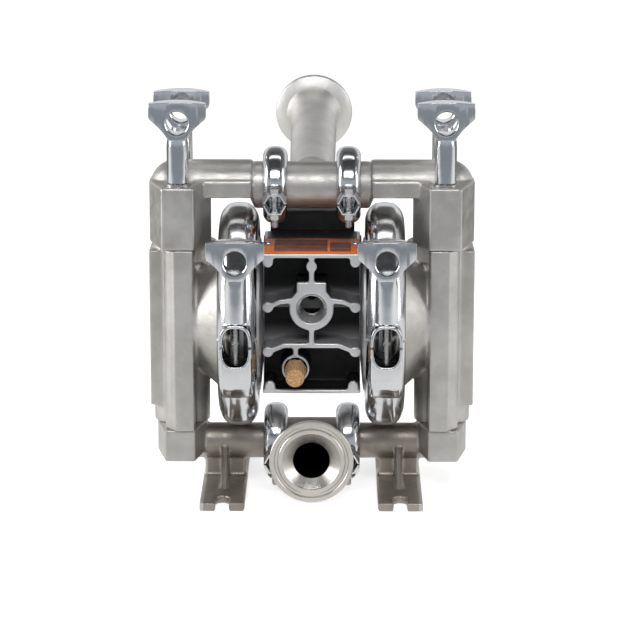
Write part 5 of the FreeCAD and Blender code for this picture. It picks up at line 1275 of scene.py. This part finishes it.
@dataclass
class SmallClamps:
    """Polished manifold clamps with hexagonal window frames, bolts and nuts."""

    offset: float = 22.0 * MM
    tilt: float = 11.7
    lug_forward: float = 27.6 * MM
    frame_back: float = 19.4 * MM
    frame_front: float = 32.0 * MM
    half_tall: float = 6.6 * MM
    tail: float = 16.2 * MM
    half_flat: float = 3.95 * MM
    gap: float = 0.9 * MM

    def section(self) -> list[Point]:
        """The clamp's closed section, as (along the pipe, radius)."""
        side = [(-6.7, 15.2), (-7.2, 15.4), (-7.3, 16.0), (-7.3, 18.6)]
        side += arc((-7.3, 18.6), (-3.2, 23.0), 6.0, 8) + [(-3.2, 23.0)]
        crown = arc((-3.2, 23.0), (3.2, 23.0), 17.2, 6)
        groove = [(5.8, 15.2), (5.3, 15.5), (3.1, 17.3), (-3.1, 17.3), (-5.3, 15.5), (-5.8, 15.2)]
        return in_metres(side + crown + [(-a, r) for a, r in reversed(side)] + groove)

    def window_outline(self, shrink: float) -> list[Point]:
        """The window's outline seen from the front, shrunk inwards."""
        tall, wide, flat = 6.6 - shrink, 7.3 - shrink, 3.9 - shrink / 2
        points = [(-flat, -tall), (flat, -tall), (wide, 0.0), (flat, tall), (-flat, tall), (-wide, 0.0)]
        return in_metres(points)

    def clamp(self) -> bpy.types.Object:
        """Model one clamp about the frame's origin, not yet leaning forwards."""
        ring = Workbench.lathe("clamp", Axis.X, Vector((0, 0, 0)), self.section(), 128)
        depth = self.frame_front - self.frame_back
        frames = []
        for row in Row:
            middle = Vector((0.0, row.value * (self.frame_front + self.frame_back) / 2, 0.0))
            opening = self.window_outline(1.3)
            Workbench.boolean(ring, Workbench.slab("opening", Plane.FRONT, opening, depth + MM, middle))
            rim = Workbench.slab("frame", Plane.FRONT, self.window_outline(0.0), depth, middle)
            Workbench.boolean(rim, Workbench.slab("opening", Plane.FRONT, opening, 2 * depth, middle))
            frames.append(Workbench.bevel(rim, 0.38 * MM, 2, 40.0))
        for solid in (ring, *frames):
            corners = in_metres([(-20, -50), (20, -50), (20, 50), (-20, 50)])
            Workbench.boolean(solid, Workbench.slab("gap", Plane.TOP, corners, self.gap, Vector((0, 0, 0))))
        return Workbench.shade(Workbench.join(ring, *frames), 34.0)

    def bolt(self) -> bpy.types.Object:
        """Model one bolt: hexagon head, shank and thread."""
        start = Vector((0.0, 0.0, -self.tail))
        ridges = thread(0.6 * MM, self.tail + 3.0 * MM, 2.08 * MM, 0.7 * MM, 0.36 * MM)
        profile = [(0.0, 0.0), (0.0, 1.3 * MM)] + ridges + [(self.tail + self.half_tall, 2.05 * MM)]
        profile.append((self.tail + self.half_tall, 0.0))
        shank = Workbench.lathe("bolt", Axis.Z, start, profile, 28)
        head = Workbench.hexagon_prism("head", Vector((0.0, 0.0, self.half_tall)), self.half_flat, 3.3 * MM)
        return Workbench.shade(Workbench.join(shank, head), 28.0)

    def nut(self) -> bpy.types.Object:
        """Model one nut under the window."""
        start = Vector((0.0, 0.0, -self.half_tall - 3.4 * MM))
        nut = Workbench.hexagon_prism("nut", start, self.half_flat, 3.35 * MM)
        eye = Workbench.rod("eye", Axis.Z, Vector((0.0, 0.0, -20 * MM)), 2.12 * MM, 40 * MM, 32)
        return Workbench.shade(Workbench.boolean(nut, eye), 28.0)

    def build(self, finishes: Finishes) -> None:
        """Model one clamp, bolt and nut, and copy them to all four joints."""
        clamp, bolt, nut = self.clamp(), self.bolt(), self.nut()
        lean = Matrix.Rotation(math.radians(self.tilt), 4, "X")
        bolts, nuts = [], []
        for level, height in (("discharge", DISCHARGE_HEIGHT), ("inlet", INLET_HEIGHT)):
            for side in Side:
                spot = Matrix.Translation(Vector((side.value * self.offset, 0.0, height))) @ lean
                node = f"{level}_clamp_{side.word}"
                install(Workbench.copy(clamp, "dressed_" + node, spot), node, [finishes.polished])
                for row in Row:
                    shift = Matrix.Translation(Vector((0.0, row.value * self.lug_forward, 0.0)))
                    bolts.append(Workbench.copy(bolt, f"bolt_{node}_{row.word}", spot @ shift))
                    nuts.append(Workbench.copy(nut, f"nut_{node}_{row.word}", spot @ shift))
        install(Workbench.join(*bolts), "small_clamp_bolts", [finishes.turned])
        install(Workbench.join(*nuts), "small_clamp_nuts", [finishes.turned])
        for piece in (clamp, bolt, nut):
            bpy.data.objects.remove(piece)


@dataclass
class Tees:
    """The two tees of the manifolds with their clamp ferrules."""

    half_run: float = 21.2
    bore: float = 11.0 * MM
    throat: float = 10.8
    tilt: float = 5.5

    def run(self, height: float) -> bpy.types.Object:
        """Model a tee's run between its two small ferrules.

        Args:
            height: Its axis above the floor.

        Returns:
            The run, still solid.
        """
        end = self.half_run
        side = [(-end, 0.0), (-end, 16.7), (-end + 0.3, 17.0), (-end + 1.6, 17.0), (-end + 1.9, 16.8),
                (-end + 4.0, 14.6), (-end + 5.0, 14.2)]
        profile = in_metres(side + [(-a, r) for a, r in reversed(side)])
        return Workbench.lathe("run", Axis.X, Vector((0.0, 0.0, height)), profile, 128)

    def port(self, profile: list[Point], reach: float) -> bpy.types.Object:
        """Model a port along +Y from the origin.

        Args:
            profile: Its outside, in millimetres along Y and out, from the tee to its ferrule's foot.
            reach: Where its flat face is, in millimetres.

        Returns:
            The port, still solid apart from its gasket groove.
        """
        foot, rim = reach - 5.5, reach - 2.9
        outside = [(0.0, 0.0)] + profile
        outside += [(foot, 17.9), (rim - 0.6, 24.6), (rim - 0.1, 25.1), (rim + 0.4, 25.25),
                    (reach - 0.4, 25.25), (reach - 0.05, 24.95), (reach, 24.5)]
        groove = [(reach, 22.6), (reach - 0.3, 22.2), (reach - 1.0, 21.9), (reach - 1.1, 21.2),
                  (reach - 1.0, 20.5), (reach - 0.3, 20.2), (reach, 19.8), (reach, 0.0)]
        return Workbench.lathe("port", Axis.Y, Vector((0, 0, 0)), in_metres(outside + groove), 160)

    def hollow(self, reach: float) -> bpy.types.Object:
        """Model the hole that a port is bored with, along +Y from the origin."""
        points = [(-2.0, 0.0), (-2.0, self.throat), (reach - 4.3, self.throat),
                  (reach - 3.8, self.throat + 0.3), (reach - 0.3, 17.2), (reach + 0.3, 17.7),
                  (reach + 2.0, 17.7), (reach + 2.0, 0.0)]
        return Workbench.lathe("hollow", Axis.Y, Vector((0, 0, 0)), in_metres(points), 160)

    def tee(self, node: str, height: float, turn: Matrix, profile: list[Point], reach: float,
            materials: list[bpy.types.Material], limit: float) -> bpy.types.Object:
        """Model a whole tee.

        Args:
            node: The CAD node it stands for.
            height: The run's axis above the floor.
            turn: How the port is turned from +Y.
            profile: The port's outside.
            reach: Where the port's flat face is, in millimetres.
            materials: The finishes of the casting, of the port's turned end, of the bore's painted shade
            and, if it differs from the casting's, of the pipe, partly painted light.
            limit: How far behind the flat face the turned finish starts, in millimetres.

        Returns:
            The tee.
        """
        place = Matrix.Translation(Vector((0.0, 0.0, height))) @ turn
        piece = self.run(height)
        for solid, operation in ((self.port(profile, reach), "UNION"), (self.hollow(reach), "DIFFERENCE")):
            moved = Workbench.copy(solid, "moved", place)
            bpy.data.objects.remove(solid)
            Workbench.boolean(piece, moved, operation)
        start = Vector((-50 * MM, 0.0, height))
        Workbench.boolean(piece, Workbench.rod("bore", Axis.X, start, self.bore, 100 * MM, 96))
        piece.name = "dressed_" + node
        Workbench.shade(piece, 34.0)
        install(piece, node, materials)
        along = (place.to_3x3() @ Vector((0.0, 1.0, 0.0))).normalized()
        origin = place.translation
        for face in piece.data.polygons:
            ahead = (face.center - origin).dot(along)
            aside = (face.center - origin - along * ahead).length
            # Faces inside the run and port bores get the painted shade; faces far along the discharge port
            # get the lighter pipe copy, partly painted light.
            in_run = math.hypot(face.center.y, face.center.z - height) < self.bore + 0.3 * MM
            in_port = aside < (self.throat + 0.2) * MM and 0.0 < ahead < (reach - 4.0) * MM
            inside = in_run or in_port
            on_pipe = len(materials) > 3 and ahead > 19.0 * MM
            face.material_index = 2 if inside else 1 if ahead > (reach - limit) * MM else 3 if on_pipe else 0
        return piece

    def build(self, finishes: Finishes) -> None:
        """Model both tees."""
        hub = [(0.0, 13.4), (36.5, 13.4), (38.5, 13.9), (40.3, 15.2), (41.6, 16.8)]
        # The inlet tee takes the darker copy of the casting, partly painted shade under the pump.
        self.tee("inlet_tee", INLET_HEIGHT, Matrix.Rotation(math.pi, 4, "Z"), hub, 48.0,
                 [finishes.low_cast, finishes.turned_port, finishes.bore], 5.4)
        pipe = [(0.0, 13.6), (14.0, 13.6), (60.0, 14.1), (157.5, 15.0), (162.0, 15.3), (165.5, 16.1),
                (167.6, 17.3)]
        lean = Matrix.Rotation(math.radians(self.tilt), 4, "X")
        self.tee("discharge_tee", DISCHARGE_HEIGHT, lean, pipe, 174.0,
                 [finishes.cast, finishes.turned_rear, finishes.bore, finishes.pipe], 1.2)


@dataclass
class FrontFittings:
    """The name plate with its screws, the breather silencer and the air inlet's liner."""

    block_top: float = 150.6 * MM
    sheet: float = 0.62 * MM
    ink: float = 0.1 * MM
    screw_spot: Point = (26.2 * MM, -8.5 * MM)
    collar_reach: float = 6.75 * MM

    def name_plate(self, finishes: Finishes) -> None:
        """Enamelled plate with plain dark panels between thin lines."""
        outline = [(-28.5, -33.5), (28.5, -33.5), (28.5, 7.5), (-28.5, 7.5)]
        plate = Workbench.slab("name_plate_sheet", Plane.TOP, in_metres(outline), self.sheet,
                               Vector((0.0, 0.0, self.block_top + self.sheet / 2)))
        Workbench.bevel(plate, 0.15 * MM, 2)
        strips = [(-22.5, 9.5, -29.6, -27.4), (11.0, 23.5, -29.6, -22.0), (-22.5, 9.5, -26.6, -24.4),
                  (-22.5, 9.5, -23.6, -16.0), (11.0, 23.5, -21.0, -4.0), (-22.5, 9.5, -15.0, 4.0)]
        panels = []
        for x0, x1, y0, y1 in strips:
            corners = [(x0, y0), (x1, y0), (x1, y1), (x0, y1)]
            panels.append(Workbench.slab("panel", Plane.TOP, in_metres(corners), self.ink,
                                         Vector((0.0, 0.0, self.block_top + self.sheet + self.ink / 5))))
        count = len(plate.data.polygons)
        piece = Workbench.shade(Workbench.join(plate, *panels))
        install(piece, "name_plate", [finishes.orange, finishes.plate_ink])
        for face in piece.data.polygons[count:]:
            face.material_index = 1

    def plate_screws(self, finishes: Finishes) -> None:
        """Two slotted round head screws."""
        profile = [(-6.4, 0.0), (-6.4, 1.4), (0.0, 1.4), (0.0, 2.4), (0.5, 2.3), (1.0, 1.9), (1.3, 1.2),
                   (1.4, 0.0)]
        base = Vector((*self.screw_spot, self.block_top + 0.8 * MM))
        screw = Workbench.lathe("plate_screw", Axis.Z, base, in_metres(profile), 32)
        corners = in_metres([(-4.0, -0.3), (4.0, -0.3), (4.0, 0.3), (-4.0, 0.3)])
        slot = Workbench.slab("slot", Plane.TOP, corners, 1.2 * MM, base + Vector((0.0, 0.0, 1.5 * MM)))
        Workbench.boolean(screw, slot)
        twin = Workbench.copy(screw, "twin", MIRROR)
        install(Workbench.shade(Workbench.join(screw, twin), 28.0), "name_plate_screws", [finishes.turned])

    def silencer(self, finishes: Finishes) -> None:
        """Pressed bronze tip in a hexagonal steel collar."""
        base = SILENCER_SEAT - Vector((0.0, 23.0 * MM, 0.0))
        tip = [(0.0, 0.0), (0.0, 3.6), (0.25, 4.4), (1.2, 5.4), (2.4, 5.65), (12.0, 5.9), (17.6, 6.4),
               (20.0, 6.45), (20.0, 0.0)]
        piece = Workbench.lathe("bronze_tip", Axis.Y, base, in_metres(tip), 56)
        install(Workbench.shade(piece, 30.0), "breather_silencer", [finishes.bronze])
        collar = Workbench.slab("collar", Plane.FRONT, hexagon(self.collar_reach), 5.9 * MM, SILENCER_SEAT)
        Workbench.bevel(collar, 0.4 * MM, 2)
        ridges = thread(0.2 * MM, 21.8 * MM, 4.48 * MM, 1.0 * MM, 0.5 * MM)
        profile = [(0.0, 0.0)] + ridges + [(21.9 * MM, 0.0)]
        tail = Workbench.lathe("tail", Axis.Y, SILENCER_SEAT, profile, 40)
        install(Workbench.shade(Workbench.join(collar, tail), 30.0), "breather_collar", [finishes.turned])

    def port_liner(self, finishes: Finishes) -> None:
        """Tapered and threaded wall of the air inlet, as part of the centre block."""
        points = [(0.1, 8.86), (0.1, 8.75), (0.8, 8.35)]
        for step in range(10):
            base = 1.2 + 1.3 * step
            points += [(base, 8.2 - 0.07 * base), (base + 0.65, 7.75 - 0.07 * base)]
        points += [(14.6, 7.1), (15.2, 6.3), (15.9, 6.3), (15.9, 8.86)]
        start = Vector((0.0, BLOCK_FRONT, AIR_INLET_HEIGHT))
        piece = Workbench.lathe("dressed_port_liner", Axis.Y, start, in_metres(points), 96)
        piece.data.materials.append(finishes.air_port)
        Workbench.shade(piece, 30.0)
        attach(piece, BODY_OF["centre_block"])

    def build(self, finishes: Finishes) -> None:
        """Model all of them."""
        self.port_liner(finishes)
        self.name_plate(finishes)
        self.plate_screws(finishes)
        self.silencer(finishes)


@dataclass
class Diaphragms:
    """Both diaphragms: the rim stays clamped, the hub goes with the shaft and the wave between is cut into
    sectors.
    """

    offset: float = 44.0
    half: float = 1.2
    hub: float = 4.0
    flat: float = 26.0
    wave_end: float = 50.0
    rim: float = 59.7
    wave: float = 20.0
    axis_height: float = 106.0
    sectors: int = 12

    @property
    def middle(self) -> Vector:
        """A point on the shaft's axis."""
        return Vector((0.0, 0.0, self.axis_height * MM))

    def ring(self, name: str, inner: float, outer: float, wave: bool) -> bpy.types.Object:
        """Model a ring of the right diaphragm between two radii.

        Args:
            name: The piece's name.
            inner: Its inner radius in millimetres.
            outer: Its outer radius in millimetres.
            wave: True where the ring bows away from the block.

        Returns:
            The ring.
        """
        near = self.offset - self.half
        bow = arc((near, inner), (near, outer), -self.wave, 14) if wave else []
        front = [(near, inner)] + bow + [(near, outer)]
        section = front + [(a + 2 * self.half, r) for a, r in reversed(front)]
        return Workbench.lathe(name, Axis.X, self.middle, in_metres(section), 180)

    def sector(self) -> bpy.types.Object:
        """Cut one sector of the wave, above the shaft."""
        piece = self.ring("wave", self.flat, self.wave_end, True)
        half = math.pi / self.sectors
        for side in Side:
            away = Vector((0.0, side.value * math.cos(half), -math.sin(half)))
            Workbench.trim(piece, self.middle, away)
        return Workbench.shade(piece, 30.0)

    def build(self, finishes: Finishes) -> None:
        """Model the right diaphragm and mirror it to the left."""
        hub = Workbench.shade(self.ring("hub", self.hub, self.flat, False))
        rim = Workbench.shade(self.ring("rim", self.wave_end, self.rim, False))
        wave = self.sector()
        there, back = Matrix.Translation(self.middle), Matrix.Translation(-self.middle)
        clamped, driven = BODY_OF["liquid_chamber_left"], BODY_OF["main_shaft"]
        for side in Side:
            node = f"diaphragm_{side.word}"
            flip = MIRROR if side is Side.LEFT else Matrix.Identity(4)
            install(Workbench.copy(hub, f"{node}_hub", flip), node, [finishes.white])
            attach(install(Workbench.copy(rim, f"{node}_rim", flip), node, [finishes.white]), clamped)
            for step in range(self.sectors):
                change = flip @ there @ Matrix.Rotation(2 * math.pi * step / self.sectors, 4, "X") @ back
                piece = Workbench.copy(wave, f"{node}_wave_{step:02d}", change)
                piece.data.materials.clear()
                piece.data.materials.append(finishes.white)
                start, end = (change @ Vector((self.offset * MM, 0.0, (self.axis_height + radius) * MM))
                              for radius in (self.wave_end, self.flat))
                tuple(start)
                tuple(end)
                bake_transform(piece)
                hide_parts(node)
                log.info("%s: blends from %s to %s", piece.name, clamped, driven)
        for piece in (hub, rim, wave):
            bpy.data.objects.remove(piece)


@dataclass
class AirValve:
    """The air valve on the rear of the block, its caps, screws and exhaust muffler."""

    half_wide: float = 26.0
    front: float = 35.0
    rear: float = 66.0
    body_middle: float = 135.5 * MM
    body_tall: float = 55.0 * MM
    groove_heights: Point = (119.2, 151.8)
    spool: Vector = Vector((26.0 * MM, 50.5 * MM, 132.0 * MM))
    recess_reach: float = 5.0 * MM
    screw_heights: Point = (113.0, 145.6)
    screw_offset: float = 21.0
    socket_reach: float = 2.2 * MM
    muffler_height: float = 120.0 * MM

    def body(self, finishes: Finishes) -> None:
        """Coated valve body with rounded edges."""
        wide = self.half_wide
        outline = [(-wide, self.front), (wide, self.front), (wide, self.rear), (-wide, self.rear)]
        piece = Workbench.slab("valve_body", Plane.TOP, in_metres(outline), self.body_tall,
                               Vector((0.0, 0.0, self.body_middle)))
        Workbench.bevel(piece, 1.6 * MM, 4)
        for height in self.groove_heights:
            groove = [(-30.0, 60.0), (30.0, 60.0), (30.0, 70.0), (-30.0, 70.0)]
            tool = Workbench.slab("groove", Plane.TOP, in_metres(groove), 1.2 * MM,
                                  Vector((0.0, 5.0 * MM, height * MM)))
            Workbench.boolean(piece, tool)
        install(Workbench.shade(piece, 34.0), "air_valve_body", [finishes.coating])

    def caps(self, finishes: Finishes) -> None:
        """Round end caps with a hexagonal recess."""
        profile = [(0.0, 0.0), (0.0, 12.4), (3.7, 12.4), (4.2, 12.2), (4.5, 11.7), (4.5, 0.0)]
        cap = Workbench.lathe("valve_cap", Axis.X, self.spool, in_metres(profile), 96)
        rim = self.spool + Vector((4.5 * MM, 0.0, 0.0))
        Workbench.boolean(cap, Workbench.slab("recess", Plane.SIDE, hexagon(self.recess_reach), 6 * MM, rim))
        twin = Workbench.copy(cap, "twin", MIRROR)
        install(Workbench.shade(Workbench.join(cap, twin), 30.0), "air_valve_end_caps", [finishes.coating])

    def screws(self, finishes: Finishes) -> None:
        """Four socket head screws."""
        profile = [(-42.0, 0.0), (-42.0, 2.4), (0.0, 2.4), (0.0, 4.2), (3.5, 4.2), (4.0, 3.8), (4.0, 0.0)]
        pieces = []
        for height in self.screw_heights:
            for side in Side:
                base = Vector((side.value * self.screw_offset, self.rear, height)) * MM
                screw = Workbench.lathe("valve_screw", Axis.Y, base, in_metres(profile), 40)
                rim = base + Vector((0.0, 4.0 * MM, 0.0))
                tool = Workbench.slab("socket", Plane.FRONT, hexagon(self.socket_reach), 5 * MM, rim)
                pieces.append(Workbench.boolean(screw, tool))
        install(Workbench.shade(Workbench.join(*pieces), 30.0), "air_valve_screws", [finishes.turned])

    def muffler(self, finishes: Finishes) -> None:
        """Moulded muffler with rings along its body."""
        points = [(-6.5, 0.0), (-6.5, 6.4), (0.0, 6.4), (0.0, 10.5), (4.6, 12.3), (5.4, 12.4)]
        for step in range(9):
            start = 7.0 + 3.2 * step
            points += [(start, 12.1), (start + 0.3, 11.1), (start + 1.1, 11.1), (start + 1.4, 12.0)]
        points += [(36.0, 11.4)] + arc((36.0, 11.4), (42.0, 5.5), 6.5, 6) + [(42.0, 5.5), (42.0, 0.0)]
        start = Vector((0.0, self.rear * MM, self.muffler_height))
        piece = Workbench.lathe("muffler", Axis.Y, start, in_metres(points), 80)
        install(Workbench.shade(piece, 30.0), "exhaust_muffler", [finishes.plastic])

    def build(self, finishes: Finishes) -> None:
        """Model all of it."""
        self.body(finishes)
        self.caps(finishes)
        self.screws(finishes)
        self.muffler(finishes)


def tie_rod_washers(finishes: Finishes) -> None:
    """Chamfered washers under the tie rods' wing nuts."""
    profile = [(0.0, 4.3), (0.0, 7.3), (0.2, 7.5), (1.3, 7.5), (1.5, 7.3), (1.5, 4.3)]
    pieces = []
    for side in Side:
        for row in Row:
            base = Vector((side.value * COLUMN_OFFSET, row.value * TIE_ROD_DEPTH, 189.8 * MM))
            pieces.append(Workbench.lathe("washer", Axis.Z, base, in_metres(profile), 56))
    install(Workbench.shade(Workbench.join(*pieces), 28.0), "tie_rod_washers", [finishes.turned])


def main() -> None:
    """Build every sub-assembly in order."""
    logging.basicConfig(level=logging.INFO, format="%(name)s %(message)s")
    finishes = Finishes()
    dress_frame(finishes)
    Castings().build(finishes)
    LargeClamps().build(finishes)
    SmallClamps().build(finishes)
    Tees().build(finishes)
    FrontFittings().build(finishes)
    AirValve().build(finishes)
    Diaphragms().build(finishes)
    tie_rod_washers(finishes)
    WingNut().build(finishes)
    Studio().build()


if __name__ == "__main__":
    main()
